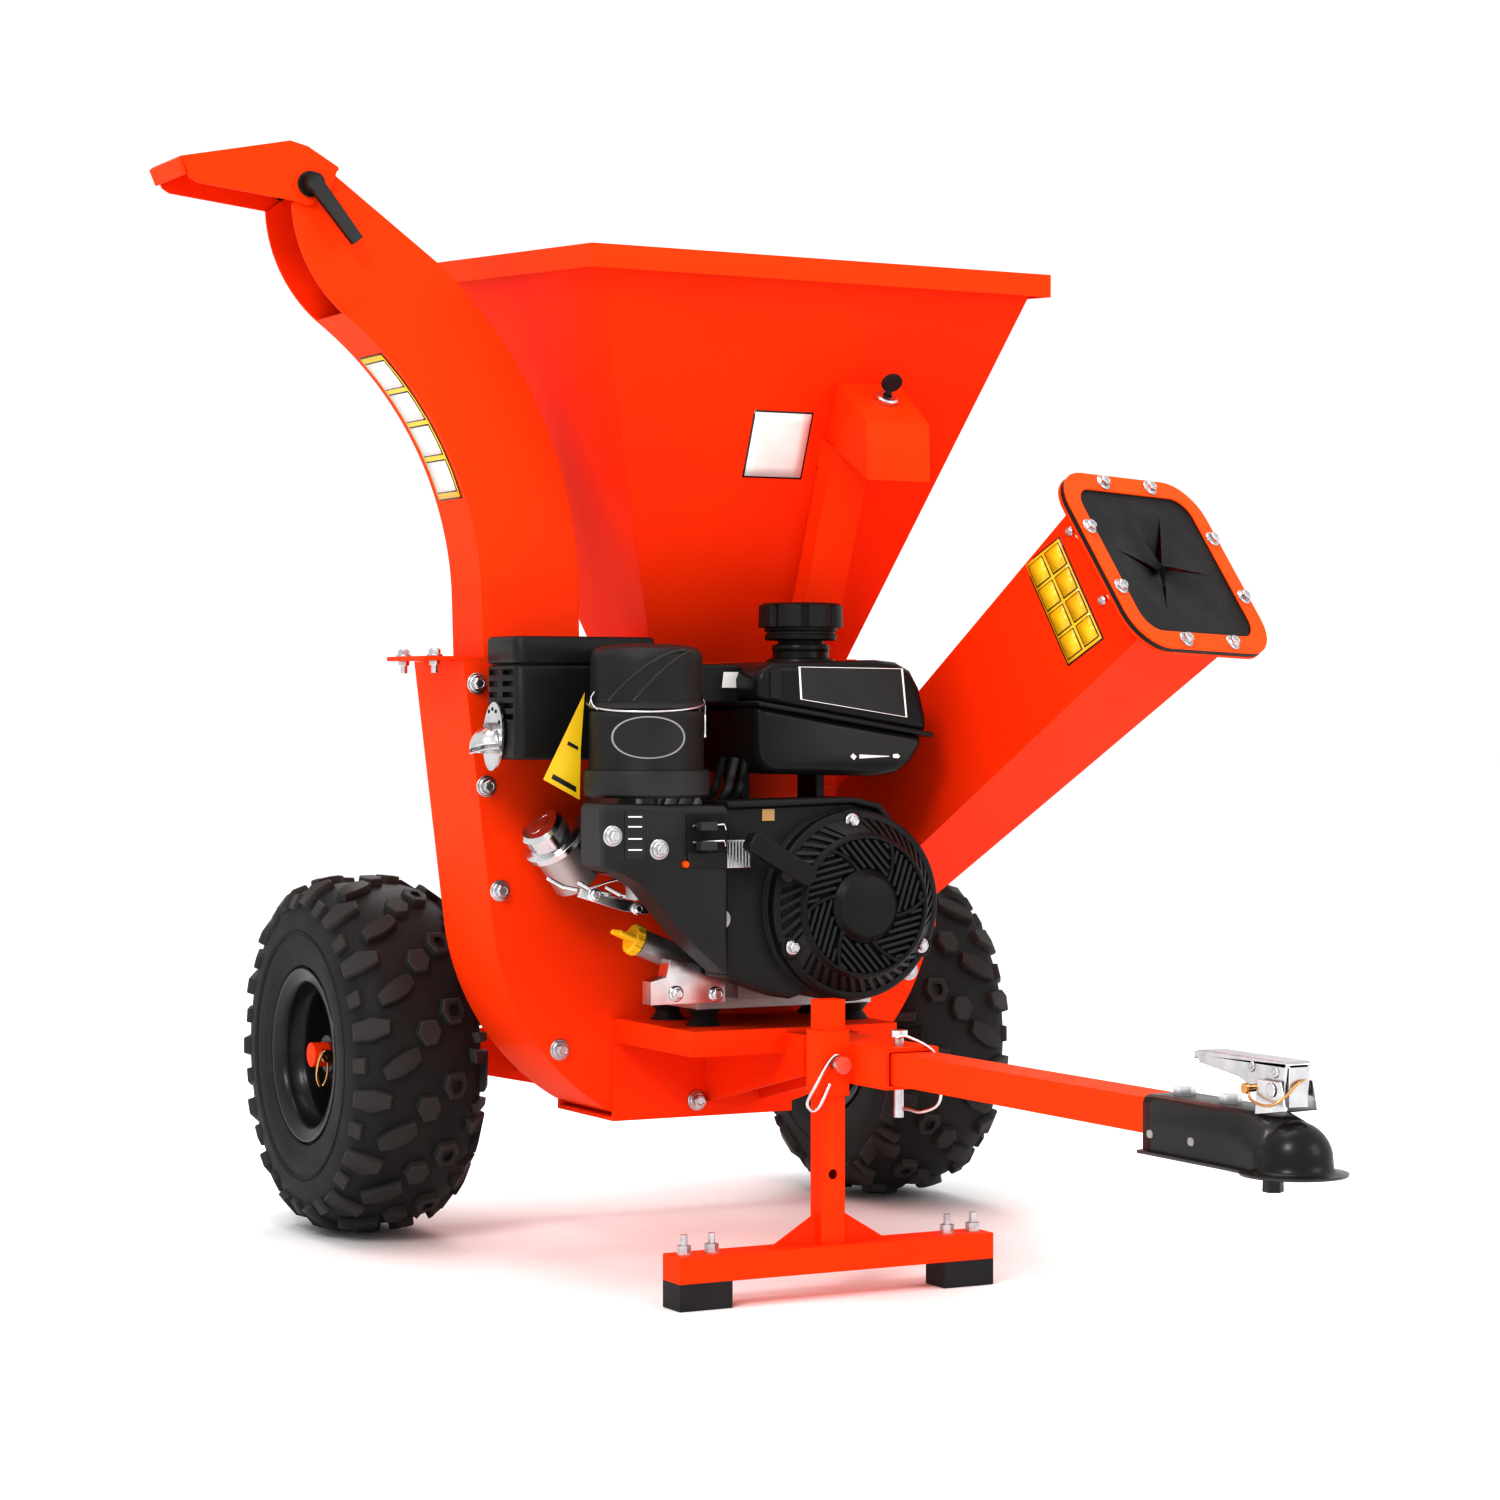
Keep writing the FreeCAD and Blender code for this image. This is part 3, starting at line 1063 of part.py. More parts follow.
def make_engine_block():
    """Crankcase, mounting feet, output boss and the inclined cylinder, bored for the crankshaft."""
    foot_top = "deck_top + isolator_high + 12"
    case = box([("case_rear", "case_front"), ("case_right", "case_left"), (foot_top, "case_top")])
    base = box([("mount_rear - 14", "mount_rear + mount_long + 14"), ("mount_y - mount_wide / 2 - 14",
                                                                      "mount_y + mount_wide / 2 + 14"),
                ("deck_top + isolator_high", foot_top)])
    boss = cylinder("52", "18", on_crank("case_rear - 18"), "X")
    lean = FreeCAD.Rotation(Vec(1, 0, 0), -25)
    barrel = box([("0", "72"), ("-215", "-60"), ("-44", "44")], lean, ("case_rear + 2",) + CRANK)
    fins = [box([("-2", "77"), (str(-186 + 14 * step), str(-181 + 14 * step)), ("-52", "52")], lean,
                ("case_rear + 2",) + CRANK) for step in range(7)]
    neck = cylinder("filler_radius", "filler_long", FILLER, neck_turn())
    oil_bore = cylinder("7.5", "filler_long + 26", FILLER, neck_turn())
    head = made(rocker_cylinder("rocker_radius", -3, -46, -0.2))
    bore = cylinder("shaft_radius + 0.05", "200", on_crank("case_rear - 30"), "X")
    chamber = cylinder("38", "26", on_crank("case_rear + 38"), "X")
    holes = [cylinder("4.5", "60", spot[:2] + ("deck_top",), "Z") for spot in mount_spots()]
    block = fuse(fuse(case, base, boss, barrel, neck, *fins), head)
    bored = cut(block, bore, chamber, oil_bore, *holes)
    bored.Refine = False
    node("engine_block", bored)


FILLER = ("case_rear + 92", "case_right + 10", "filler_z")


def neck_way():
    """The oil filler's direction: up and out to the right."""
    way = Vec(0, -0.92, 0.38)
    way.normalize()
    return way


def neck_turn():
    """The turn that points a piece's own Z along the oil filler."""
    return FreeCAD.Rotation(Vec(0, 0, 1), neck_way())


def rocker_cylinder(radius, extra, low, high):
    """A cylinder on the cylinder head's axis, between two heights above the rocker cover's foot."""
    way = Vec(0.25, -0.62, 0.74)
    way.normalize()
    foot = Vec(341, -214.5, 408.5)
    return Part.makeCylinder(size(radius) + extra, high - low, foot + way * low, way)


def make_rocker_cover():
    """The bright rocker cover on the cylinder head, with its flange."""
    cap = rocker_cylinder("rocker_radius", 0, 0, size("rocker_long"))
    flange = rocker_cylinder("rocker_radius", 4, 0, 7)
    node("rocker_cover", made(cap.fuse(flange).removeSplitter()))


def make_isolators():
    """Four rubber buffers between the deck and the engine's feet."""
    buffers = []
    for spot in mount_spots():
        lower = cone("isolator_radius", "isolator_radius - 6", "isolator_high / 2", spot, "Z")
        upper = cone("isolator_radius - 6", "isolator_radius", "isolator_high / 2",
                     spot[:2] + ("deck_top + isolator_high / 2",), "Z")
        hole = cylinder("4.5", "40", spot[:2] + ("deck_top - 5",), "Z")
        buffers.append(cut(fuse(lower, upper), hole))
    node("isolators", group(*buffers))


def make_engine_bolts():
    """The four long bolts that hold the engine's feet to the deck."""
    bolts = []
    for x, y, _ in mount_spots():
        shank = cylinder("4", "isolator_high + 30", (x, y, "deck_top - 14"), "Z")
        head = hexagon("8", "6", (x, y, "deck_top + isolator_high + 12"), "Z")
        nut = hexagon("8", "6", (x, y, "deck_top - sheet - 6"), "Z")
        bolts.append(fuse(shank, head, nut))
    node("engine_bolts", group(*bolts))


def make_oil_cap():
    """The yellow oil filler cap with its dipstick."""
    way = neck_way()

    def along(gap):
        return tuple("%s + %s * (%s)" % (base, step, gap) for base, step in zip(FILLER, way))

    cap = cylinder("15", "18", along("filler_long + 0.4"), neck_turn())
    stick = cylinder("6.5", "50", along("filler_long - 43.6"), neck_turn())
    grip = box([("-3", "3"), ("-14", "14"), ("10", "27")], neck_turn(), along("filler_long + 0.4"))
    node("oil_cap", fuse(cap, stick, grip))


def make_blower():
    """The flywheel in its blower housing, and the recoil starter's grille cover."""
    wheel = cylinder("flywheel_radius", "10", on_crank("case_front + 8"), "X")
    rim = cylinder("flywheel_radius", "26", on_crank("case_front + 8"), "X")
    hollow = cylinder("flywheel_radius - 12", "30", on_crank("case_front + 18"), "X")
    bore = cylinder("shaft_radius + 0.05", "90", on_crank("case_front"), "X")
    node("flywheel", cut(fuse(wheel, cut(rim, hollow)), bore))
    shroud = cylinder("blower_radius", "50", on_crank("case_front + 0.5"), "X")
    hat = box([("case_front + 0.5", "case_front + 50.5"), ("case_right - 42", "crank_y + 40"),
               ("case_top - 82", "case_top + 24")])
    inside = cylinder("blower_radius - 4", "60", on_crank("case_front + 4"), "X")
    hat_inside = box([("case_front + 4", "case_front + 47"), ("case_right - 38", "crank_y + 36"),
                      ("case_top - 78", "case_top + 20")])
    eye = cylinder("16", "20", on_crank("case_front - 4"), "X")
    skirt = padded("YZ", [("-220", "388"), ("-178", "356"), ("-140", "314"), ("-108", "281"), ("-66", "264"),
                          ("-20", "300"), ("-60", "388")], "10", ("case_front + 40", "0", "0"))
    node("blower_housing", cut(fuse(shroud, hat, skirt), inside, hat_inside, eye))
    base = cylinder("blower_radius - 4.5", "16", on_crank("case_front + 50.8"), "X")
    face = cone("blower_radius - 8", "grille_radius", "8", on_crank("case_front + 66.8"), "X")
    disc = cylinder("cap_radius", "12", on_crank("recoil_front - 12"), "X")
    hollow_base = cylinder("blower_radius - 9", "15", on_crank("case_front + 47.8"), "X")
    slots = [slot_box(FreeCAD.Rotation(Vec(1, 0, 0), 20 * step)) for step in range(18)]
    post = cylinder("6", "18", on_crank("case_front + 48.5"), "X")
    node("recoil_cover", fuse(cut(fuse(base, face, disc), hollow_base, *slots), post))
    pulley = cylinder("46", "9", on_crank("case_front + 51.5"), "X")
    pulley_bore = cylinder("6.1", "20", on_crank("case_front + 45"), "X")
    groove = torus("46", "3", on_crank("case_front + 56"), "X")
    node("recoil_pulley", cut(pulley, pulley_bore, groove))


def slot_box(turn):
    """One radial slot of the grille, turned about the crankshaft."""
    return box([("-20", "40"), ("40", "60"), ("-3", "3")], turn, on_crank("recoil_front - 14"))


def make_pull_handle():
    """The recoil starter's grip and the short neck that it seats on."""
    lean = FreeCAD.Rotation(Vec(1, 0, 0), -30)
    at = ("recoil_front + 2", "crank_y - 96", "crank_z + 46")
    half = size("handle_half")
    grip = box([("-9", "9"), (str(-half), str(half)), ("-8", "8")], lean, at)
    stem = box([("-6", "6"), ("6", "20"), ("-16", "-8")], lean, at)
    node("pull_handle", fuse(grip, stem))


def make_tank():
    """The fuel tank with its filler neck, and the lobed cap that turns on it."""
    span_x = ("tank_rear", "tank_front")
    tank = box([span_x, ("tank_right", "tank_left"), ("tank_low", "tank_top")])
    corners = fresh("Part::Fillet")
    corners.Base = tank
    doc.recompute()
    corners.Edges = [(index, 14, 14) for index in range(1, 13)]
    neck = cylinder("27", "24", ("fuel_cap_x", "fuel_cap_y", "tank_top - 6"), "Z")
    bore = cylinder("23", "60", ("fuel_cap_x", "fuel_cap_y", "tank_top - 30"), "Z")
    shoulder = box([("tank_rear + 12", "tank_front - 42"), ("tank_right - 40", "tank_right + 4"),
                    ("tank_top - 42", "tank_top - 4")])
    seam = box([("tank_rear - 4", "tank_front + 4"), ("tank_right - 2", "tank_left + 4"),
                ("tank_low + 50", "tank_low + 55")])
    inside = box([("tank_rear + tank_wall", "tank_front - tank_wall"),
                  ("tank_right + tank_wall", "tank_left - tank_wall"),
                  ("tank_low + tank_wall", "tank_top - tank_wall")])
    feet = [box([("tank_rear + 20", "tank_rear + 60"), (low, high), ("case_top", "tank_low + 4")])
            for low, high in (("case_right + 45", "case_right + 55"), ("case_left - 20", "case_left - 10"))]
    node("fuel_tank", cut(fuse(corners, shoulder, seam, neck, *feet), inside, bore))
    low = "tank_top + 18.4"
    middle = ("fuel_cap_x", "fuel_cap_y", low)
    collar = cylinder("35", "13", middle, "Z")
    crown = cylinder("fuel_cap_radius - 3", "24", ("fuel_cap_x", "fuel_cap_y", low + " + 13"), "Z")
    plug = cylinder("22.6", "14", ("fuel_cap_x", "fuel_cap_y", low + " - 13"), "Z")
    lobes = []
    for step in range(8):
        angle = math.radians(45 * step)
        lobes.append(cylinder("9", "24", ("fuel_cap_x + %s" % (32 * math.cos(angle)),
                                          "fuel_cap_y + %s" % (32 * math.sin(angle)), low + " + 13"), "Z"))
    node("fuel_cap", fuse(collar, crown, plug, *lobes))


def make_air_cleaner():
    """The canister air cleaner: body, lift-off dome, the filter inside and the wire latch."""
    middle = ("cleaner_x", "cleaner_y")
    body = cylinder("cleaner_radius", "cleaner_split - cleaner_low", middle + ("cleaner_low",), "Z")
    foot = cylinder("cleaner_foot", "26", middle + ("cleaner_low",), "Z")
    hollow = cylinder("cleaner_radius - 3", "cleaner_split - cleaner_low", middle + ("cleaner_low + 4",), "Z")
    throat = cylinder("12", "20", middle + ("cleaner_low - 5",), "Z")
    node("air_cleaner_body", cut(fuse(body, foot), hollow, throat))
    straight = "cleaner_top - cleaner_split - 14"
    wall = cylinder("cleaner_radius", straight, middle + ("cleaner_split + 0.3",), "Z")
    dome = cone("cleaner_radius", "cleaner_radius - 22", "13.7", middle + ("cleaner_top - 13.7",), "Z")
    inside = cylinder("cleaner_radius - 3", straight, middle + ("cleaner_split - 3",), "Z")
    node("air_cleaner_cover", cut(fuse(wall, dome), inside))
    element = cylinder("40", "100", middle + ("cleaner_low + 4.5",), "Z")
    core = cylinder("20", "110", middle + ("cleaner_low + 1",), "Z")
    node("air_filter", cut(element, core))
    side = "cleaner_y + cleaner_radius"
    loop = box([("cleaner_x - 6", "cleaner_x + 6"), (side + " + 1", side + " + 5"),
                ("cleaner_split - 24", "cleaner_split + 12")])
    hook = box([("cleaner_x - 6", "cleaner_x + 6"), (side + " + 0.4", side + " + 1"),
                ("cleaner_split + 4", "cleaner_split + 12")])
    hinge = cylinder("2", "14", ("cleaner_x - 7", side + " + 3", "cleaner_split - 24"), "X")
    node("air_cleaner_latch", fuse(loop, hook, hinge))


def make_carburetor():
    """Carburettor and its bowl, between the cylinder and the air cleaner."""
    throttle_body = box([("guard_front + 2", "cover_rear - 1"), ("-186", "-150"), ("400", "440")])
    bowl = cylinder("19", "26", ("cleaner_x", "cleaner_y", "cover_low - 30"), "Z")
    stub = cylinder("10", "cleaner_low - cover_low + 4.6", ("cleaner_x", "cleaner_y", "cover_low - 5"), "Z")
    node("carburetor", fuse(throttle_body, bowl, stub))


def make_intake_cover():
    """The moulded control cover below the air cleaner, with a window for the two levers."""
    shell = box([("cover_rear", "cover_front"), ("cover_right", "cover_left"), ("cover_low", "cleaner_low - 0.3")])
    slope = box([("-10", "140"), ("-10", "200"), ("-60", "0")], FreeCAD.Rotation(Vec(1, 0, 0), -12),
                ("cover_rear", "cover_right", "cover_low + 22"))
    inside = box([("cover_rear - 1", "cover_front - 3"), ("cover_right + 3", "cover_left - 3"),
                  ("cover_low - 1", "cleaner_low - 3.3")])
    window = box([("cover_front - 5", "cover_front + 5"), ("cover_left - 44", "cover_left - 6"),
                  ("cover_low + 12", "cover_low + 50")])
    throat = cylinder("12", "20", ("cleaner_x", "cleaner_y", "cleaner_low - 12"), "Z")
    node("intake_cover", cut(shell, slope, inside, window, throat))


def make_levers():
    """The choke and fuel levers in the cover's window."""
    for name, height in (("choke_lever", "cover_low + 36"), ("fuel_lever", "cover_low + 18")):
        stalk = box([("cover_front - 14", "cover_front + 10"), ("cover_left - 32", "cover_left - 27"),
                     (height, height + " + 6")])
        knob = box([("cover_front + 4", "cover_front + 14"), ("cover_left - 38", "cover_left - 21"),
                    (height + " - 1", height + " + 7")])
        node(name, fuse(stalk, knob))


def make_exhaust():
    """The muffler in its louvred guard, with the outlet deflector."""
    low = "guard_low"
    span_y = ("guard_right", "guard_left")
    shell = box([("guard_rear", "guard_front"), span_y, (low, "guard_top")])
    inside = box([("guard_rear + 3", "guard_front - 3"), ("guard_right + 3", "guard_left - 3"),
                  (low + " - 1", "guard_top - 3")])
    louvres = []
    for step in range(6):
        rise = "guard_low + %d" % (42 + 10 * step)
        for offset in ("12", "42"):
            louvres.append(box([("guard_rear + " + offset, "guard_rear + %s + 20" % offset),
                                ("guard_right - 1", "guard_right + 5"), (rise, rise + " + 4.5")]))
    tops = [box([("guard_rear + 30", "guard_rear + 44"), ("guard_right + %d" % (30 + 14 * step),
                                                          "guard_right + %d" % (36 + 14 * step)),
                 ("guard_top - 5", "guard_top + 1")]) for step in range(7)]
    outlet_hole = cylinder("14", "20", ("guard_rear + 26", "guard_right - 8", "guard_low + 24"), "Y")
    node("muffler_guard", cut(shell, inside, outlet_hole, *louvres, *tops))
    can = box([("guard_rear + 8", "guard_front - 8"), ("guard_right + 10", "guard_left - 8"),
               (low + " + 8", "guard_top - 10")])
    pipe = cylinder("11", "22", ("guard_rear + 26", "guard_right - 10", "guard_low + 24"), "Y")
    flange = box([("guard_rear + 10", "guard_rear + 60"), ("-215", "-170"), (low + " + 1", low + " + 8")])
    node("muffler", fuse(can, pipe, flange))
    plate = cylinder("27", "2.5", ("guard_rear + 26", "guard_right - 3.5", "guard_low + 24"), "Y")
    scoop = cone("21", "13", "20", ("guard_rear + 26", "guard_right - 23.5", "guard_low + 14"), "Y")
    through = cylinder("11.4", "60", ("guard_rear + 26", "guard_right - 20", "guard_low + 24"), "Y")
    node("exhaust_deflector", cut(fuse(plate, scoop), through))


# ---- make, test and write --------------------------------------------------------------------

make_wheel("right", "-")
make_wheel("left", "+")
make_axle()
make_frame()
make_stand()
make_stand_feet()
make_foot_studs()
make_tongue()
make_coupler()
make_coupler_bolts()
make_coupler_latch()
make_pins()
make_keepers()
make_housing()
make_housing_bolts()
make_discharge()
make_hood()
make_clamp_levers()
make_hopper()
make_switch_box()
make_switch()
make_feed()
make_rotor()
make_rear_bearing()
make_bedknife()
make_engine_block()
make_isolators()
make_engine_bolts()
make_oil_cap()
make_blower()
make_pull_handle()
make_tank()
make_air_cleaner()
make_carburetor()
make_intake_cover()
make_levers()
make_exhaust()
make_rocker_cover()
doc.recompute()

failed = [obj.Name + " " + obj.Label for obj in doc.Objects if {"Invalid", "Error"} & set(obj.State)]
bad = [obj.Label for obj in nodes if obj.Shape.isNull() or not obj.Shape.isValid() or not obj.Shape.Solids]
if failed or bad:
    raise RuntimeError("not written, failed: %s, bad shapes: %s" % (failed, bad))
os.makedirs("parts", exist_ok=True)
bounds = FreeCAD.BoundBox()
for obj in nodes:
    obj.Shape.exportStep(os.path.join("parts", obj.Label + ".step"))
    bounds.add(obj.Shape.BoundBox)
print("%d sub-parts, box %s" % (len(nodes), bounds))
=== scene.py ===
import json
import math

import bmesh
import bpy
from mathutils import Euler, Matrix, Vector
from mathutils.bvhtree import BVHTree


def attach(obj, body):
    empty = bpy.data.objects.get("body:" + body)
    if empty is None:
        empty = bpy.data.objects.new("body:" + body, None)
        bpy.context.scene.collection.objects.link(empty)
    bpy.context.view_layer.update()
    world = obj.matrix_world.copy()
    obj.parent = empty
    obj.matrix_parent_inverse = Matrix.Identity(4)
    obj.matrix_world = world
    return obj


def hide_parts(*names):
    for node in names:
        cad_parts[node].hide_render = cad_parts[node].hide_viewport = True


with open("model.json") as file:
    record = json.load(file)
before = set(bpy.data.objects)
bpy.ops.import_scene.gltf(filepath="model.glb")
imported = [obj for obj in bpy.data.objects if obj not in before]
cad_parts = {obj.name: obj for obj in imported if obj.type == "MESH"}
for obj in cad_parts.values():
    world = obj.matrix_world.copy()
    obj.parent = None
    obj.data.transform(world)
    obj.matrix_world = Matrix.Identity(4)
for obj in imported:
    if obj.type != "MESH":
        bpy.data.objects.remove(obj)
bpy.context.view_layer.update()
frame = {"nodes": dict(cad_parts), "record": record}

NODES = frame["nodes"]
X_AXIS = Vector((1, 0, 0))
Z_AXIS = Vector((0, 0, 1))


def at(x, y, z):
    """A place on the machine in millimetres from the axle, as a point of the frame in metres."""
    return Vector((x / 1000 - 0.535, y / 1000 + 0.07975, z / 1000))


# ---- materials -------------------------------------------------------------------------------

def material(name, colour, second, rough, spread=0.1, metallic=0.0, coat=0.0, mottle=9.0, grain=900.0,
        bump=0.05, depth=0.0004, worn=None, round_edges=0.0, stretch=None, specular=0.5):
    """A surface of two mottled colours, with grain in its bump and roughness, and worn edges."""
    made = bpy.data.materials.new(name)
    made.use_nodes = True
    nodes = made.node_tree.nodes
    links = made.node_tree.links
    shader = nodes["Principled BSDF"]
    shader.inputs["Metallic"].default_value = metallic
    shader.inputs["Coat Weight"].default_value = coat
    shader.inputs["Coat Roughness"].default_value = 0.12
    shader.inputs["Specular IOR Level"].default_value = specular
    coords = nodes.new("ShaderNodeTexCoord")
    source = coords.outputs["Object"]
    if stretch:
        mapping = nodes.new("ShaderNodeMapping")
        mapping.inputs["Scale"].default_value = stretch
        links.new(source, mapping.inputs["Vector"])
        source = mapping.outputs["Vector"]

    def noise(scale, detail):
        texture = nodes.new("ShaderNodeTexNoise")
        texture.inputs["Scale"].default_value = scale
        texture.inputs["Detail"].default_value = detail
        links.new(source, texture.inputs["Vector"])
        return texture.outputs["Fac"]

    broad = noise(mottle, 5)
    blend = nodes.new("ShaderNodeMix")
    blend.data_type = "RGBA"
    blend.inputs["A"].default_value = (*colour, 1)
    blend.inputs["B"].default_value = (*second, 1)
    curve = nodes.new("ShaderNodeMapRange")
    curve.inputs["From Min"].default_value = 0.38
    curve.inputs["From Max"].default_value = 0.68
    links.new(broad, curve.inputs["Value"])
    links.new(curve.outputs["Result"], blend.inputs["Factor"])
    tint = blend.outputs["Result"]
    if worn:
        edges = nodes.new("ShaderNodeNewGeometry")
        rising = nodes.new("ShaderNodeMapRange")
        rising.inputs["From Min"].default_value = 0.52
        rising.inputs["From Max"].default_value = 0.62
        links.new(edges.outputs["Pointiness"], rising.inputs["Value"])
        rub = nodes.new("ShaderNodeMix")
        rub.data_type = "RGBA"
        rub.inputs["B"].default_value = (*worn, 1)
        links.new(rising.outputs["Result"], rub.inputs["Factor"])
        links.new(tint, rub.inputs["A"])
        tint = rub.outputs["Result"]
    links.new(tint, shader.inputs["Base Color"])
    patches = nodes.new("ShaderNodeMapRange")
    patches.inputs["To Min"].default_value = rough - spread
    patches.inputs["To Max"].default_value = rough + spread
    links.new(noise(mottle * 2.3, 6), patches.inputs["Value"])
    links.new(patches.outputs["Result"], shader.inputs["Roughness"])
    relief = nodes.new("ShaderNodeBump")
    relief.inputs["Strength"].default_value = bump
    relief.inputs["Distance"].default_value = depth
    links.new(noise(grain, 3), relief.inputs["Height"])
    if round_edges:
        soft = nodes.new("ShaderNodeBevel")
        soft.samples = 4
        soft.inputs["Radius"].default_value = round_edges
        links.new(soft.outputs["Normal"], relief.inputs["Normal"])
    links.new(relief.outputs["Normal"], shader.inputs["Normal"])
    return made


ORANGE = material("orange_powder_coat", (0.90, 0.058, 0.002), (0.86, 0.050, 0.002), 0.46, 0.05,
        specular=0.1, mottle=4, grain=700, bump=0.22, depth=0.0003, worn=(0.94, 0.075, 0.004),
        round_edges=0.0012)
RING_ORANGE = material("ring_powder_coat", (0.92, 0.11, 0.004), (0.88, 0.10, 0.004), 0.44, 0.05,
        specular=0.2, mottle=6, grain=700, bump=0.2, depth=0.0003, worn=(0.94, 0.13, 0.006),
        round_edges=0.001)
BLACK_PAINT = material("black_enamel", (0.010, 0.010, 0.011), (0.016, 0.015, 0.015), 0.32, 0.06, coat=0.15,
        specular=0.35, mottle=12, grain=600, bump=0.15, depth=0.0003, worn=(0.06, 0.058, 0.055),
        round_edges=0.001)
RUBBER = material("tyre_rubber", (0.014, 0.014, 0.015), (0.024, 0.022, 0.021), 0.58, 0.10, mottle=14,
        specular=0.35, grain=1600, bump=0.35, depth=0.0006, worn=(0.055, 0.052, 0.05))
SOFT_RUBBER = material("moulded_rubber", (0.012, 0.012, 0.013), (0.022, 0.022, 0.022), 0.55, 0.08,
        mottle=30, grain=1500, bump=0.25, depth=0.0004, round_edges=0.001)
ZINC = material("zinc_plate", (0.62, 0.62, 0.64), (0.46, 0.46, 0.48), 0.30, 0.09, metallic=1.0, mottle=60,
        grain=900, bump=0.08, depth=0.0003, worn=(0.8, 0.8, 0.8))
YELLOW_ZINC = material("yellow_zinc", (0.70, 0.42, 0.20), (0.62, 0.34, 0.14), 0.28, 0.08, metallic=1.0,
        mottle=70, grain=900, bump=0.08, depth=0.0003)
TOOL_STEEL = material("tool_steel", (0.40, 0.40, 0.41), (0.30, 0.29, 0.28), 0.38, 0.1, metallic=1.0,
        mottle=30, grain=500, bump=0.15, depth=0.0004, stretch=(1, 8, 1))
ALLOY = material("cast_alloy", (0.33, 0.325, 0.32), (0.22, 0.215, 0.21), 0.46, 0.1, metallic=0.9, mottle=40,
        grain=1300, bump=0.4, depth=0.0006, worn=(0.55, 0.55, 0.55), round_edges=0.0012)
CHROME = material("bright_steel", (0.75, 0.75, 0.76), (0.60, 0.60, 0.61), 0.20, 0.07, metallic=1.0,
        mottle=45, grain=700, bump=0.05, depth=0.0003)
PLASTIC = material("black_moulding", (0.009, 0.009, 0.010), (0.013, 0.013, 0.013), 0.40, 0.06, mottle=25,
        specular=0.3, grain=2200, bump=0.30, depth=0.0003, worn=(0.05, 0.05, 0.05), round_edges=0.0012)
TANK = material("tank_moulding", (0.007, 0.007, 0.008), (0.011, 0.011, 0.011), 0.30, 0.05, mottle=12,
        specular=0.3, grain=1500, bump=0.12, depth=0.0003, worn=(0.04, 0.04, 0.04))
# near-black that paints the shade inside the starter's cover, in the lever's recess and in the exhaust
# plate's holes
PAINTED_SHADE = material("painted_shade_inside", (0.004, 0.004, 0.004), (0.007, 0.007, 0.007), 0.7, 0.1, mottle=40, bump=0.1)
YELLOW = material("yellow_moulding", (0.90, 0.60, 0.01), (0.82, 0.50, 0.01), 0.38, 0.06, mottle=40,
        grain=900, bump=0.1, round_edges=0.001)
CAST_IRON = material("cast_iron", (0.11, 0.11, 0.115), (0.07, 0.07, 0.072), 0.55, 0.1, metallic=0.7,
        mottle=40, grain=1100, bump=0.5, depth=0.0007, round_edges=0.001)
PAPER = material("filter_paper", (0.72, 0.66, 0.48), (0.64, 0.57, 0.40), 0.85, 0.08, mottle=50, grain=700,
        bump=0.5, depth=0.0006)
LABEL_YELLOW = material("label_yellow", (0.88, 0.62, 0.02), (0.84, 0.56, 0.02), 0.34, 0.05, mottle=30,
        coat=0.3, grain=700, bump=0.05)
LABEL_WHITE = material("label_white", (0.86, 0.84, 0.82), (0.80, 0.77, 0.75), 0.38, 0.05, mottle=30,
        coat=0.2, grain=700, bump=0.05)
SHROUD = material("grey_moulding", (0.022, 0.022, 0.023), (0.028, 0.027, 0.028), 0.45, 0.06, mottle=25,
        specular=0.3, grain=2200, bump=0.30, depth=0.0003, worn=(0.08, 0.08, 0.08), round_edges=0.0012)
LABEL_TAN = material("label_tan", (0.55, 0.36, 0.16), (0.50, 0.32, 0.14), 0.5, 0.05, mottle=30, grain=700,
        bump=0.05)
LABEL_GREY = material("label_grey", (0.36, 0.35, 0.34), (0.30, 0.29, 0.28), 0.42, 0.05, mottle=30,
        grain=700, bump=0.05)
LABEL_BLACK = material("label_black", (0.012, 0.012, 0.012), (0.018, 0.018, 0.018), 0.30, 0.05, mottle=30,
        coat=0.3, grain=700, bump=0.05)

CAD_LOOKS = {"orange_paint": ORANGE, "black_paint": BLACK_PAINT, "tyre_rubber": RUBBER,
        "soft_rubber": SOFT_RUBBER, "zinc": ZINC, "tool_steel": TOOL_STEEL, "cast_alloy": ALLOY,
        "black_plastic": PLASTIC, "tank_plastic": TANK, "yellow_plastic": YELLOW, "cast_iron": CAST_IRON,
        "filter_paper": PAPER}


def dress(name, look):
    """Gives a CAD node its finish."""
    slots = NODES[name].material_slots
    if not slots:
        NODES[name].data.materials.append(look)
    for slot in slots:
        slot.material = look


for entry in frame["record"]["subparts"]:
    dress(entry["node"], CAD_LOOKS[entry["material_slot"]])
dress("feed_ring", RING_ORANGE)
dress("muffler_guard", PLASTIC)
dress("coupler_latch", ZINC)
dress("pin_keepers", YELLOW_ZINC)
dress("exhaust_deflector", CHROME)
dress("rocker_cover", CHROME)


# ---- mesh helpers ----------------------------------------------------------------------------

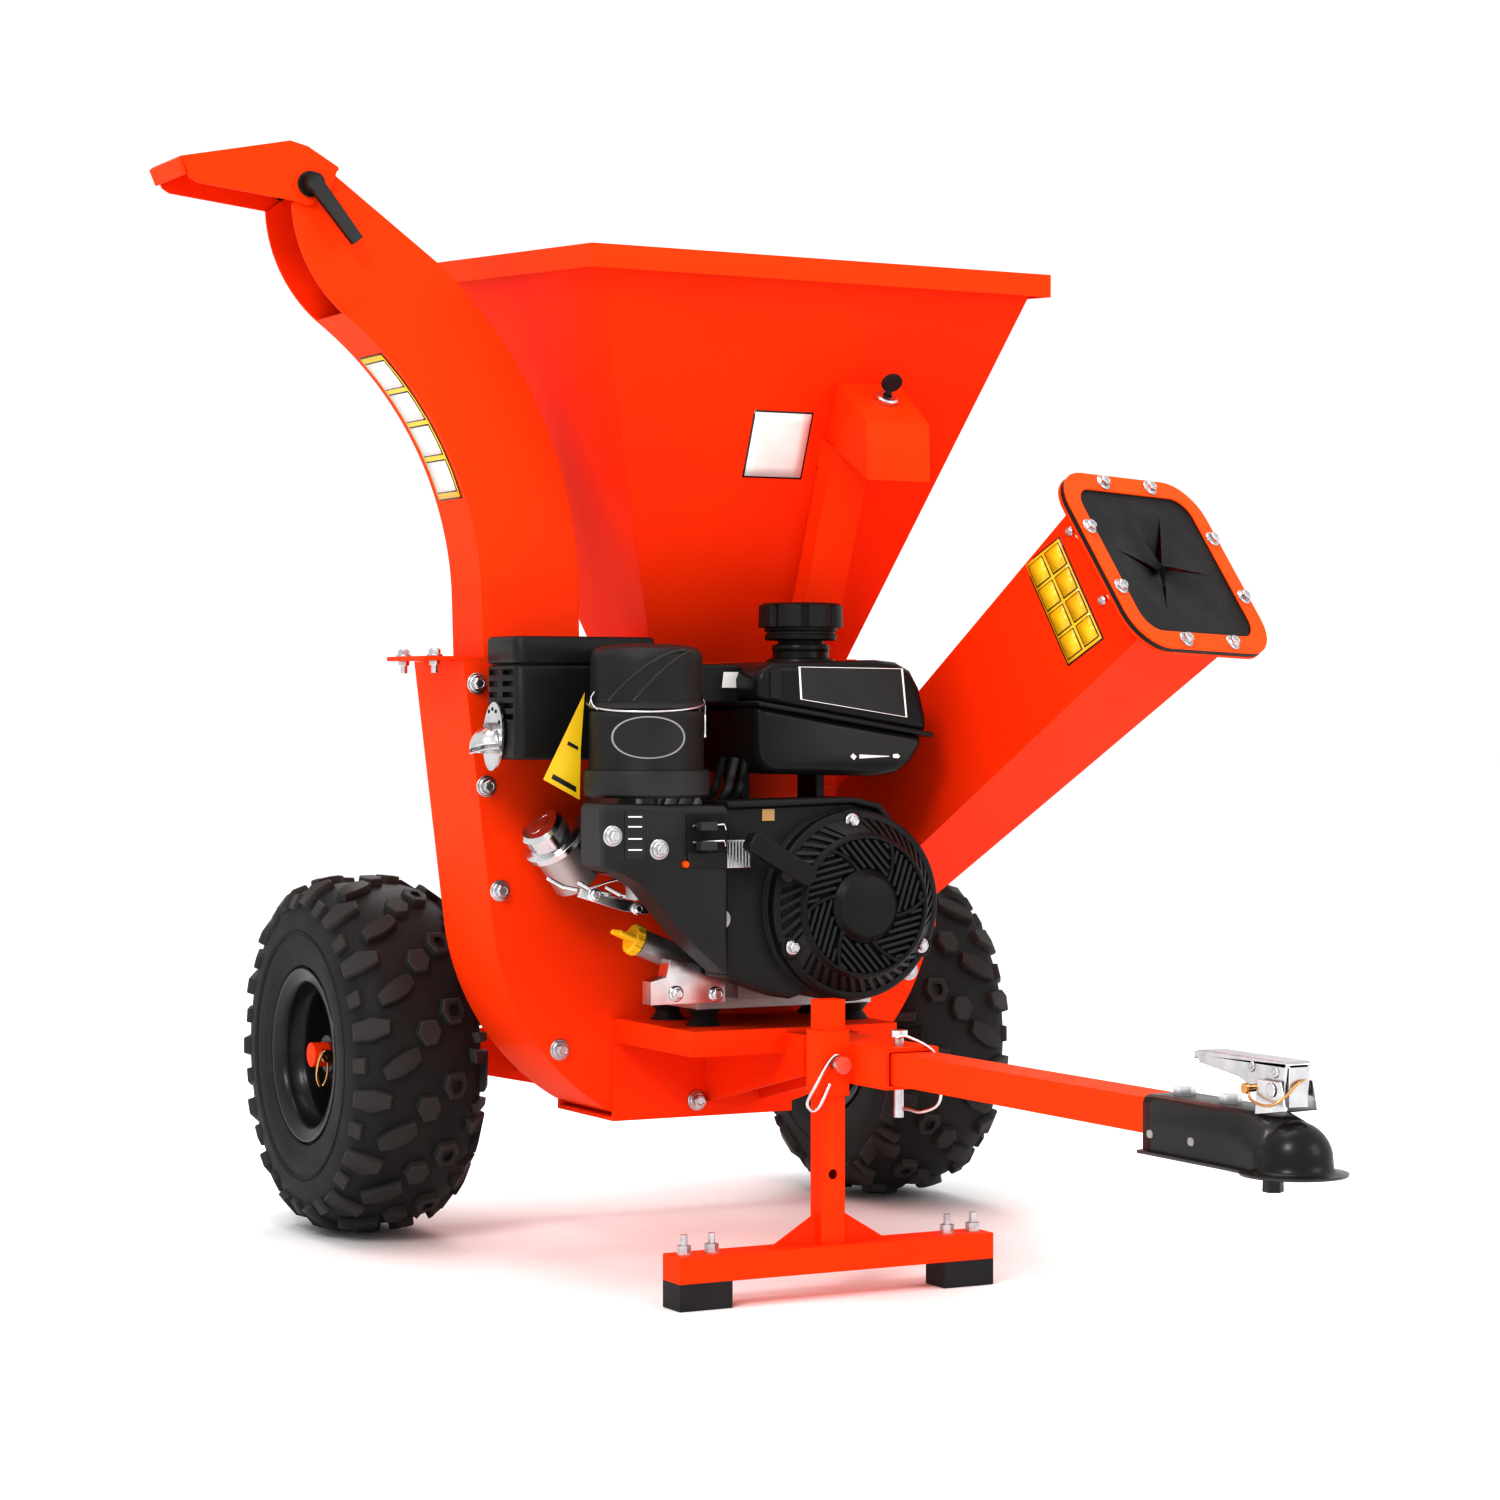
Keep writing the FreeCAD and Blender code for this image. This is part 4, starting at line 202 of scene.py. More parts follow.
def piece(name, bm, body, look, bevel=0.0, angle=32, segments=2, slot=None):
    """Turns a bmesh into an object that rides on a body."""
    bmesh.ops.recalc_face_normals(bm, faces=bm.faces)
    mesh = bpy.data.meshes.new(name)
    bm.to_mesh(mesh)
    bm.free()
    mesh.materials.append(look)
    mesh.shade_smooth()
    mesh.set_sharp_from_angle(angle=math.radians(angle))
    obj = bpy.data.objects.new(name, mesh)
    bpy.context.scene.collection.objects.link(obj)
    if bevel:
        rounding = obj.modifiers.new("rounding", "BEVEL")
        rounding.width = bevel
        rounding.segments = segments
        rounding.limit_method = "ANGLE"
        rounding.angle_limit = math.radians(angle)
        rounding.harden_normals = True
    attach(obj, body)
    return obj


def basis(origin, along, up=None):
    """A matrix whose Z runs along a direction, with its Y as near to up as it can be."""
    z = Vector(along).normalized()
    hint = Vector(up) if up else (Z_AXIS if abs(z.z) < 0.9 else X_AXIS)
    x = hint.cross(z).normalized()
    y = z.cross(x)
    matrix = Matrix((x, y, z)).transposed().to_4x4()
    matrix.translation = origin
    return matrix


def ring_points(radius, count):
    """Points on a circle."""
    return [(radius * math.cos(2 * math.pi * step / count),
            radius * math.sin(2 * math.pi * step / count)) for step in range(count)]


def add_skin(bm, rows, around=True):
    """Adds faces between neighbouring rows of vertices, which close on themselves if they go around."""
    for low, high in zip(rows, rows[1:]):
        for index in range(len(low) if around else len(low) - 1):
            after = (index + 1) % len(low)
            bm.faces.new((low[index], low[after], high[after], high[index]))


def add_lathe(bm, profile, matrix, steps=48):
    """Adds a turned shape: profile of (radius, height) in metres, about the matrix's Z."""
    rings = []
    for radius, height in profile:
        points = ring_points(radius, steps if radius > 1e-6 else 1)
        rings.append([bm.verts.new(matrix @ Vector((x, y, height))) for x, y in points])
    for low, high in zip(rings, rings[1:]):
        for step in range(steps):
            after = (step + 1) % steps
            if len(low) == 1 and len(high) == 1:
                continue
            if len(low) == 1:
                bm.faces.new((low[0], high[step], high[after]))
            elif len(high) == 1:
                bm.faces.new((low[step], low[after], high[0]))
            else:
                bm.faces.new((low[step], low[after], high[after], high[step]))


def add_prism(bm, outline, matrix, low, high, inset=0.0):
    """Adds an extruded outline of (x, y) points in metres between two heights on the matrix's Z."""
    count = len(outline)
    middle = Vector((sum(p[0] for p in outline) / count, sum(p[1] for p in outline) / count))
    base = [bm.verts.new(matrix @ Vector((x, y, low))) for x, y in outline]
    top = []
    for x, y in outline:
        way = middle - Vector((x, y))
        moved = Vector((x, y)) + (way.normalized() * inset if way.length > 1e-9 else way)
        top.append(bm.verts.new(matrix @ Vector((moved.x, moved.y, high))))
    bm.faces.new(base)
    bm.faces.new(top)
    add_skin(bm, [base, top])


def add_box(bm, matrix, x, y, z):
    """Adds a block between spans along the matrix's axes."""
    add_prism(bm, [(x[0], y[0]), (x[1], y[0]), (x[1], y[1]), (x[0], y[1])], matrix, z[0], z[1])


def rounded(width, height, radius, steps=5):
    """The outline of a rectangle with rounded corners, centred on zero."""
    points = []
    for sign_x, sign_y, start in ((1, 1, 0), (-1, 1, 90), (-1, -1, 180), (1, -1, 270)):
        for step in range(steps + 1):
            angle = math.radians(start + 90 * step / steps)
            points.append((sign_x * (width / 2 - radius) + radius * math.cos(angle),
                    sign_y * (height / 2 - radius) + radius * math.sin(angle)))
    return points


def add_tube(bm, points, radius, steps=10, closed=False):
    """Adds a round bar that follows points."""
    points = [Vector(point) for point in points]
    count = len(points)
    rings = []
    side = None
    for index, point in enumerate(points):
        before = points[index - 1] if index or closed else point
        after = points[(index + 1) % count] if index < count - 1 or closed else point
        way = (after - before).normalized()
        if side is None:
            side = way.orthogonal().normalized()
        side = (side - way * side.dot(way)).normalized()
        other = way.cross(side)
        rings.append([bm.verts.new(point + (side * x + other * y) * radius)
                for x, y in ring_points(1, steps)])
    if closed:
        add_skin(bm, rings + rings[:1])
    else:
        bm.faces.new(rings[0])
        bm.faces.new(rings[-1])
        add_skin(bm, rings)


def smooth_path(points, steps=6):
    """Points on a smooth line through the given ones."""
    points = [Vector(point) for point in points]
    line = []
    for index in range(len(points) - 1):
        p0 = points[max(index - 1, 0)]
        p1 = points[index]
        p2 = points[index + 1]
        p3 = points[min(index + 2, len(points) - 1)]
        for step in range(steps):
            t = step / steps
            line.append(0.5 * (2 * p1 + (p2 - p0) * t + (2 * p0 - 5 * p1 + 4 * p2 - p3) * t * t
                    + (3 * p1 - p0 - 3 * p2 + p3) * t ** 3))
    return line + [points[-1]]


def add_hex_bolt(bm, matrix, size, head, flange=0.0):
    """Adds a dished hexagon head with a chamfered top, on a flange if it has one."""
    rise = 0.0
    if flange:
        add_lathe(bm, [(0, 0), (flange, 0), (flange, 0.0012), (flange * 0.86, 0.0022), (0, 0.0022)], matrix,
                28)
        rise = 0.002
    add_prism(bm, ring_points(size * 1.12, 6), matrix, rise, rise + head * 0.8)
    add_prism(bm, ring_points(size * 1.12, 6), matrix, rise + head * 0.8, rise + head, inset=size * 0.16)
    top = rise + head
    add_lathe(bm, [(0, top + 0.0002), (size * 0.62, top + 0.0002), (size * 0.72, top + 0.0008),
            (size * 0.8, top - 0.0004)], matrix, 20)


# ---- tyres and rims --------------------------------------------------------------------------

# the axle's middle, half the track and the axle's height in mm, and the tyre's radius in metres
MIDDLE_Y = 34
HALF_TRACK = 307.5
AXLE_HEIGHT = 184
TYRE_RADIUS = 0.1755
CROWN = [(0.0, 0.1755), (0.020, 0.1750), (0.036, 0.1732), (0.049, 0.1698), (0.058, 0.1645), (0.0635, 0.158),
        (0.0672, 0.149), (0.0690, 0.140), (0.0696, 0.131)]
SIDEWALL = [(0.0696, 0.131), (0.0700, 0.1285), (0.0688, 0.1270), (0.0692, 0.122), (0.0690, 0.112),
        (0.0676, 0.103), (0.0655, 0.096), (0.0655, 0.0935), (0.0640, 0.0915), (0.0608, 0.0905),
        (0.0600, 0.080)]


def crown_point(reach, height):
    """Place and radius at an arc length from the crown's middle, raised by a height off the carcass."""
    sign = 1 if reach >= 0 else -1
    left = abs(reach)
    for (y0, r0), (y1, r1) in zip(CROWN, CROWN[1:]):
        span = math.hypot(y1 - y0, r1 - r0)
        if left <= span or (y1, r1) == CROWN[-1]:
            share = left / span
            across = Vector((y1 - y0, r1 - r0)).normalized()
            out = Vector((-across.y, across.x))
            y = y0 + (y1 - y0) * share + out.x * height
            r = r0 + (r1 - r0) * share + out.y * height
            return sign * y, r
        left -= span
    return 0.0, 0.0


# each lug: its outline in mm round and across the tread, its height in mm, and whether it has a slot
LUGS = [
    ([(-13, -36), (0, -40), (13, -35), (14, -21), (2, -14), (-12, -18)], 7.8, True),
    ([(8, -8), (20, -13), (33, -8), (35, 5), (22, 13), (9, 8)], 8.0, False),
    ([(-40, 12), (-28, 8), (-18, 17), (-10, 31), (-7, 44), (-19, 49), (-29, 38), (-36, 26)], 8.0, False),
    ([(6, 36), (1, 55), (5, 74), (25, 74), (27, 56), (20, 38)], 7.6, False),
    ([(-32, 62), (-30, 78), (-12, 78), (-13, 62)], 5.0, False),
    ([(-36, -46), (-34, -78), (12, -78), (13, -63), (-19, -62), (-21, -47)], 7.4, False),
    ([(22, -50), (20, -72), (31, -76), (33, -54)], 6.6, False),
]
LUG_TURNS = 15


def add_lug(bm, outline, height, slotted, turn, place):
    """Adds one tread lug, wrapped on the carcass at a turn about the axle."""
    def wrapped(s, t, h):
        y, r = crown_point(t, h)
        angle = turn + s / TYRE_RADIUS
        return place @ Vector((r * math.sin(angle), y, r * math.cos(angle)))

    middle_s = sum(p[0] for p in outline) / len(outline)
    middle_t = sum(p[1] for p in outline) / len(outline)

    def ring(share, h):
        return [bm.verts.new(wrapped((middle_s + (s - middle_s) * share) / 1000,
                (middle_t + (t - middle_t) * share) / 1000, h / 1000)) for s, t in outline]

    levels = [ring(1.10, -3), ring(1.0, 0.8), ring(0.93, height - 1.0), ring(0.84, height)]
    if slotted:
        levels += [ring(0.42, height), ring(0.36, height - 3.5)]
    add_skin(bm, levels)
    bm.faces.new(levels[-1])


def wheel_frames(sign):
    """A wheel's middle, mirrored on the left, and the same turned so that Z is the axle."""
    centre = Matrix.Translation(at(0, MIDDLE_Y + sign * HALF_TRACK, AXLE_HEIGHT))
    centre = centre @ Matrix.Diagonal((1, sign, 1, 1))
    return centre, centre @ Matrix.Rotation(math.radians(-90), 4, "X")


def make_tyre(side, sign):
    """A knobbly tyre: carcass with moulded sidewalls, and its lugs."""
    centre, spin = wheel_frames(sign)
    bm = bmesh.new()
    half = CROWN + SIDEWALL[1:]
    profile = [(r, y) for y, r in reversed(half)] + [(r, -y) for y, r in half[1:]]
    add_lathe(bm, profile, spin, 120)
    inner = [(0.080, -0.060), (0.1, -0.058), (0.166, -0.045), (0.166, 0.045), (0.1, 0.058), (0.080, 0.060)]
    add_lathe(bm, inner, spin, 60)
    height = 0.0696
    for radius in (0.1235, 0.1257):
        add_lathe(bm, [(radius - 0.0006, height - 0.002), (radius - 0.0004, height + 0.0004),
                (radius + 0.0004, height + 0.0004), (radius + 0.0006, height - 0.002)], spin, 120)
    bmesh.ops.remove_doubles(bm, verts=bm.verts, dist=1e-6)
    for step in range(LUG_TURNS):
        for outline, height, slotted in LUGS:
            add_lug(bm, outline, height, slotted, 2 * math.pi * step / LUG_TURNS, centre)
    obj = piece("tyre_%s_rubber" % side, bm, "wheel_" + side, RUBBER, angle=38, slot="tyre_rubber")
    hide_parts("tyre_" + side)


def make_rim(side, sign):
    """A deep-dished steel wheel with rolled lips, a hub tube and a valve."""
    spin = wheel_frames(sign)[1]
    bm = bmesh.new()
    outer = [(0.0775, 0.0), (0.0775, 0.055), (0.0815, 0.0605), (0.0870, 0.0618), (0.0892, 0.0636),
            (0.0885, 0.0652), (0.0862, 0.0652), (0.0835, 0.0636), (0.0775, 0.0625), (0.0745, 0.060),
            (0.0728, 0.054), (0.0722, 0.044), (0.0690, 0.0405), (0.0672, 0.036), (0.0666, 0.020),
            (0.0640, 0.008), (0.0600, 0.0030), (0.0450, 0.0030), (0.0400, 0.0075), (0.0330, 0.0085),
            (0.0250, 0.0045), (0.0225, 0.0060), (0.0205, 0.0100), (0.0200, 0.0385), (0.0190, 0.0395),
            (0.0130, 0.0395), (0.0127, 0.0385), (0.0127, 0.0)]
    profile = outer + [(r, -h) for r, h in reversed(outer[:-1])]
    add_lathe(bm, profile, spin, 96)
    bmesh.ops.remove_doubles(bm, verts=bm.verts, dist=1e-6)
    weld = [spin @ Vector((x, y, 0.0068 + 0.0007 * (step % 2)))
            for step, (x, y) in enumerate(ring_points(0.0212, 60))]
    add_tube(bm, weld, 0.0016, 6, closed=True)
    obj = piece("rim_%s_steel" % side, bm, "wheel_" + side, BLACK_PAINT, angle=40, slot="black_paint")
    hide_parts("rim_" + side)
    bm = bmesh.new()
    root = spin @ Vector((0.052, 0.035, 0.004))
    tip = spin @ Vector((0.049, 0.033, 0.036))
    add_lathe(bm, [(0.0062, 0), (0.0055, 0.008), (0.0042, 0.012), (0.0040, 0.024), (0.0046, 0.025),
            (0.0046, 0.033), (0.0030, 0.035), (0, 0.035)], basis(root, tip - root), 20)
    piece("valve_%s" % side, bm, "wheel_" + side, SOFT_RUBBER, angle=35, slot="soft_rubber")


for wheel_side, wheel_sign in (("right", -1), ("left", 1)):
    make_tyre(wheel_side, wheel_sign)
    make_rim(wheel_side, wheel_sign)

# ---- places and shared shapes ----------------------------------------------------------------

FRONT = Matrix(((0, 0, 1), (1, 0, 0), (0, 1, 0)))
RIGHT = Matrix(((1, 0, 0), (0, 0, -1), (0, 1, 0)))
TOP = Matrix.Identity(3)


def facing(turn, x, y, z):
    """A matrix at a machine place, with its Z out of the face that the turn names."""
    matrix = turn.to_4x4()
    matrix.translation = at(x, y, z)
    return matrix


def yz_prism(bm, outline, x_low, x_high):
    """Extrudes an outline of machine (y, z) places along the machine's X."""
    points = [(y / 1000, z / 1000) for y, z in outline]
    add_prism(bm, points, facing(FRONT, 0, 0, 0), x_low / 1000, x_high / 1000)


def plates(name, outlines, low, high, look, **finish):
    """A piece of flat plates over machine (y, z) outlines, between two places along the machine."""
    bm = bmesh.new()
    for outline in outlines:
        yz_prism(bm, outline, low, high)
    return piece(name, bm, "chassis", look, **finish)


def add_ring(bm, outer, inner, matrix, low, high):
    """Adds a flat ring between two outlines of equal point count."""
    levels = ((outer, low), (outer, high), (inner, high), (inner, low))
    rings = [[bm.verts.new(matrix @ Vector((x, y, height))) for x, y in outline]
            for outline, height in levels]
    add_skin(bm, rings + rings[:1])


def add_hexa(bm, tops, depth):
    """Adds a six-sided block under four corner points, down by a depth vector."""
    high = [bm.verts.new(point) for point in tops]
    low = [bm.verts.new(point + depth) for point in tops]
    bm.faces.new(high)
    bm.faces.new(low)
    add_skin(bm, [high, low])


def decal(name, node, matrix, outline_rows, look, lift):
    """A thin label: rows of (x, y) points, dropped along the matrix's Z onto a CAD node."""
    mesh = NODES[node].data
    tree = BVHTree.FromPolygons([v.co for v in mesh.vertices], [tuple(p.vertices) for p in mesh.polygons])
    way = -(matrix.to_3x3() @ Z_AXIS).normalized()
    reach = 0.03
    bm = bmesh.new()
    rows = []
    for row in outline_rows:
        line = []
        for x, y in row:
            start = matrix @ Vector((x, y, reach))
            spot, normal = tree.ray_cast(start, way, 2 * reach)[:2]
            if spot is None:
                spot = matrix @ Vector((x, y, 0))
                normal = -way
            if normal.dot(way) > 0:
                normal = -normal
            line.append(bm.verts.new(spot + normal * lift))
        rows.append(line)
    add_skin(bm, rows, around=False)
    body = next(name for name, members in frame["record"]["behaviour"]["bodies"].items() if node in members)
    obj = piece(name, bm, body, look, angle=60)
    thick = obj.modifiers.new("thick", "SOLIDIFY")
    thick.thickness = 0.0003
    thick.offset = 1


def grid(width, height, columns, rows, shift=(0, 0)):
    """Rows of points over a rectangle centred on a shift."""
    return [[(shift[0] - width / 2 + width * i / columns,
            shift[1] - height / 2 + height * j / rows) for i in range(columns + 1)] for j in range(rows + 1)]


# ---- feed mouth ------------------------------------------------------------------------------

MOUTH = at(622, 289, 673)


def feed_matrix():
    """The feed mouth's frame, with Z out of the mouth and X across it."""
    out = Vector((0.784, 0.243, 0.571)).normalized()
    across = Vector((-0.276, 0.961, -0.03))
    across = (across - out * across.dot(out)).normalized()
    matrix = Matrix((across, out.cross(across), out)).transposed().to_4x4()
    matrix.translation = MOUTH
    return matrix


def curtain_look():
    """Dark rubber with fine moulded rings round the middle of the mouth."""
    look = SOFT_RUBBER.copy()
    look.name = "curtain_rubber"
    nodes = look.node_tree.nodes
    links = look.node_tree.links
    shader = nodes["Principled BSDF"]
    coords = nodes.new("ShaderNodeTexCoord")
    shift = nodes.new("ShaderNodeVectorMath")
    shift.operation = "SUBTRACT"
    shift.inputs[1].default_value = MOUTH
    wave = nodes.new("ShaderNodeTexWave")
    wave.wave_type = "RINGS"
    wave.rings_direction = "SPHERICAL"
    wave.inputs["Scale"].default_value = 130
    wave.inputs["Distortion"].default_value = 0.4
    relief = nodes.new("ShaderNodeBump")
    relief.inputs["Strength"].default_value = 0.35
    relief.inputs["Distance"].default_value = 0.0006
    links.new(coords.outputs["Object"], shift.inputs[0])
    links.new(shift.outputs["Vector"], wave.inputs["Vector"])
    links.new(wave.outputs["Fac"], relief.inputs["Height"])
    links.new(shader.inputs["Normal"].links[0].from_socket, relief.inputs["Normal"])
    links.new(relief.outputs["Normal"], shader.inputs["Normal"])
    return look


def make_mouth_ring(mouth):
    """The ring that clamps the curtain."""
    bm = bmesh.new()
    add_ring(bm, rounded(0.204, 0.204, 0.042, 8), rounded(0.164, 0.164, 0.022, 8), mouth, 0.0041, 0.0068)
    ring = piece("mouth_ring", bm, "chassis", RING_ORANGE, bevel=0.0012, angle=50, slot="orange_paint")
    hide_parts("feed_ring")


def make_curtain(mouth):
    """The slit rubber curtain with its sagging flaps."""
    bm = bmesh.new()
    add_ring(bm, rounded(0.2035, 0.2035, 0.042, 8), rounded(0.162, 0.162, 0.023, 8), mouth, 0.0002, 0.0039)
    slits = [math.radians(a) for a in (-8, 62, 110, 168, 238, 292)]
    sags = [0.004, 0.013, 0.006, 0.011, 0.003, 0.014]
    lean = [0.4, -0.5, 0.6, -0.3, 0.5, -0.6]
    for index, start in enumerate(slits):
        stop = slits[(index + 1) % 6] + (2 * math.pi if index == 5 else 0)
        rows = []
        for j in range(15):
            angle = start + (stop - start) * j / 14
            way = Vector((math.cos(angle), math.sin(angle)))
            edge = 0.0815 / max(abs(way.x), abs(way.y))
            edge = min(edge, 0.0815 + 0.0238)
            row = []
            for i in range(13):
                share = i / 12
                reach = edge * share
                free = max(0.0, 1 - reach / 0.066)
                across = (j / 14 - 0.5) * 2
                drop = (sags[index] * free ** 1.4 * (1 + lean[index] * across)
                        + 0.004 * free * (1 - across * across))
                gap = 0.0009 * free
                turned = angle + (gap / max(reach, 0.004)) * (-across if abs(across) > 0.99 else 0)
                row.append(bm.verts.new(mouth @ Vector((reach * math.cos(turned), reach * math.sin(turned),
                        0.0034 - drop))))
            rows.append(row)
        add_skin(bm, rows, around=False)
    bmesh.ops.remove_doubles(bm, verts=bm.verts, dist=1e-7)
    curtain = piece("mouth_curtain", bm, "chassis", curtain_look(), angle=60, slot="soft_rubber")
    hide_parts("feed_curtain")


def make_mouth_bolts(mouth):
    """Two flanged bolts with their nuts on each side of the mouth."""
    bm = bmesh.new()
    reach, near = 0.0915, 0.204 * 0.17
    spots = []
    for quarter in range(4):
        angle = math.radians(90 * quarter)
        for along in (-near, near):
            spots.append((reach * math.cos(angle) - along * math.sin(angle),
                    reach * math.sin(angle) + along * math.cos(angle)))
    for index, (x, y) in enumerate(spots):
        spin = Matrix.Rotation(0.4 * index, 4, "Z")
        add_hex_bolt(bm, mouth @ Matrix.Translation((x, y, 0.0068)) @ spin, 0.0050, 0.0042, flange=0.0082)
        add_lathe(bm, [(0, -0.009), (0.0034, -0.009), (0.0034, 0.001)],
                mouth @ Matrix.Translation((x, y, 0)), 14)
        add_prism(bm, ring_points(0.0060, 6), mouth @ Matrix.Translation((x, y, 0)), -0.0078, -0.0030)
    bolts = piece("mouth_bolts", bm, "chassis", ZINC, bevel=0.0003, angle=30, slot="zinc")
    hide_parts("feed_bolts")


def make_feed_label():
    """A yellow label with a dark border and blank panels on the chute's front wall, and two small screws."""
    corners = [at(574, 205, 706), at(632, 217, 607), at(590, 204, 574), at(531, 191, 674)]
    middle = sum(corners, Vector((0, 0, 0))) / 4
    along = ((corners[1] - corners[0]) + (corners[2] - corners[3])).normalized()
    out = (corners[3] - corners[0]).cross(along).normalized()
    if out.x < 0:
        out = -out
    across = out.cross(along)
    place = Matrix((along, across, out)).transposed().to_4x4()
    place.translation = middle
    wide, high = 0.114, 0.050
    decal("feed_label_border", "feed_chute", place, grid(wide, high, 8, 4), LABEL_BLACK, 0.0004)
    decal("feed_label", "feed_chute", place, grid(wide - 0.003, high - 0.003, 8, 4), LABEL_YELLOW, 0.0008)
    for i in range(4):
        for j in (-1, 1):
            shift = (-0.0405 + 0.027 * i, 0.0116 * j)
            decal("feed_panel_%d_%d" % (i, j + 1), "feed_chute", place, grid(0.0240, 0.0200, 2, 2, shift),
                    LABEL_BLACK, 0.0012)
            decal("feed_inset_%d_%d" % (i, j + 1), "feed_chute", place, grid(0.0222, 0.0182, 2, 2, shift),
                    LABEL_YELLOW, 0.0016)
    bm = bmesh.new()
    for x, y, z in ((581, 207, 703), (623, 216, 637)):
        add_hex_bolt(bm, basis(at(x, y, z) + across * (0.006 if across.x > 0 else -0.006), out), 0.0030,
                0.0024, flange=0.0048)
    piece("chute_screws", bm, "chassis", ZINC, bevel=0.0002, slot="zinc")


# ---- recoil starter --------------------------------------------------------------------------

STARTER_BOLTS = (95, 208, 330)


def turn_between(first, second):
    """The turn from the second angle to the first, at most half a turn either way."""
    return (first - second + math.pi) % (2 * math.pi) - math.pi


def starter_bolt_spots(base, height):
    """Matrices at a height over the starter's three bolts."""
    turns = [math.radians(degrees) for degrees in STARTER_BOLTS]
    return [base @ Matrix.Translation((0.0795 * math.cos(turn), 0.0795 * math.sin(turn), height))
            for turn in turns]


def add_skirt_bars(bm, base):
    """Slanting bars between the cover's two rims, wider beside each bolt."""
    count = 46
    for step in range(count):
        angle = 2 * math.pi * step / count
        by_bolt = min(abs(turn_between(angle, math.radians(turn))) for turn in STARTER_BOLTS) < 0.17
        wide = 0.075 if by_bolt else 0.033
        corners = []
        for radius, height, slant, sign in ((0.0680, 0.0262, 0.0, -1), (0.0680, 0.0262, 0.0, 1),
                (0.0822, 0.0119, 0.16, 1), (0.0822, 0.0119, 0.16, -1)):
            turn = angle + slant + sign * wide
            corners.append(base @ Vector((radius * math.cos(turn), radius * math.sin(turn), height)))
        add_hexa(bm, corners, base.to_3x3() @ Vector((0, 0, -0.006)))


def add_pinwheel(bm, base):
    """Six sectors of slanting slats, each with a curved rib at its start."""
    for sector in range(6):
        middle = math.radians(60 * sector + 14)
        lean = middle + math.radians(58)
        way = Vector((math.cos(lean), math.sin(lean)))
        side = Vector((-way.y, way.x))
        for step in range(-5, 6):
            offset = Vector((math.cos(middle), math.sin(middle))) * 0.050 + side * (0.0062 * step)
            run = []
            for k in range(-50, 51):
                spot = offset + way * (k * 0.001)
                radius = spot.length
                curve = (radius - 0.035) / 0.028 * math.radians(20)
                angle = turn_between(math.atan2(spot.y, spot.x), math.radians(60 * sector - 16) + curve)
                if 0.0355 < radius < 0.0630 and math.radians(3) < angle < math.radians(57):
                    run.append(spot)
            if len(run) < 4:
                continue
            a, b = run[0], run[-1]
            half = side * 0.0016
            rise = 0.0272
            add_hexa(bm, [base @ Vector((*(a - half), rise)), base @ Vector((*(a + half), rise)),
                    base @ Vector((*(b + half), rise)), base @ Vector((*(b - half), rise))],
                    base.to_3x3() @ Vector((0, 0, -0.005)))
        rib = []
        for k in range(9):
            radius = 0.0335 + 0.0300 * k / 8
            angle = math.radians(60 * sector - 16) + (radius - 0.035) / 0.028 * math.radians(20)
            rib.append(base @ Vector((radius * math.cos(angle), radius * math.sin(angle), 0.0272)))
        add_tube(bm, rib, 0.0022, 8)


def make_recoil():
    """The starter's cover: pinwheel grille, slotted skirt, hub disc and bolts."""
    base = facing(FRONT, 502.8, 18, 354)
    bm = bmesh.new()
    add_lathe(bm, [(0.0890, 0), (0.0890, 0.0090), (0.0876, 0.0108), (0.0842, 0.0120), (0.0815, 0.0118),
            (0.0815, 0.0090)], base, 96)
    add_lathe(bm, [(0.0690, 0.0180), (0.0690, 0.0252), (0.0680, 0.0268), (0.0660, 0.0294), (0.0645, 0.0298),
            (0.0630, 0.0290), (0.0625, 0.0262), (0.0625, 0.0180)], base, 96)
    add_skirt_bars(bm, base)
    add_pinwheel(bm, base)
    add_lathe(bm, [(0.0345, 0.0200), (0.0345, 0.0275), (0.0325, 0.0290), (0.0300, 0.0318), (0.0285, 0.0335),
            (0.0270, 0.0341), (0, 0.0341)], base, 72)
    for spot in starter_bolt_spots(base, 0.004):
        add_lathe(bm, [(0.0125, 0), (0.0115, 0.0085), (0.0105, 0.0095), (0, 0.0095)], spot, 28)
    cover = piece("starter_grille", bm, "chassis", PLASTIC, bevel=0.0004, angle=35, slot="black_plastic")
    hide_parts("recoil_cover")
    bm = bmesh.new()
    add_lathe(bm, [(0.0830, 0.0015), (0.0830, 0.0085), (0.0690, 0.0190), (0.0640, 0.0205), (0, 0.0205)],
            base, 72)
    piece("starter_shadow_plate", bm, "chassis", PAINTED_SHADE, angle=30)
    bm = bmesh.new()
    for spot in starter_bolt_spots(base, 0.0135):
        add_hex_bolt(bm, spot, 0.0048, 0.0045, flange=0.0075)
    piece("starter_bolts", bm, "chassis", ZINC, bevel=0.0003, angle=30, slot="zinc")


def make_handle():
    """The starter's grip: a flattened bar with soft edges on a short stem."""
    turn = Matrix.Rotation(math.radians(-30), 4, "X")
    place = Matrix.Translation(at(539, -78, 400)) @ turn
    bm = bmesh.new()
    across = place @ FRONT.to_4x4()
    add_prism(bm, rounded(0.0755, 0.0195, 0.006, 4), across, -0.0085, 0.0085)
    stem = [(0.004, -0.004), (0.022, -0.004), (0.018, -0.016), (0.008, -0.016)]
    add_prism(bm, stem, across, -0.006, 0.006)
    grip = piece("starter_grip", bm, "pull_handle", PLASTIC, bevel=0.0028, angle=40, segments=4,
            slot="black_plastic")
    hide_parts("pull_handle")


# ---- fuel tank -------------------------------------------------------------------------------

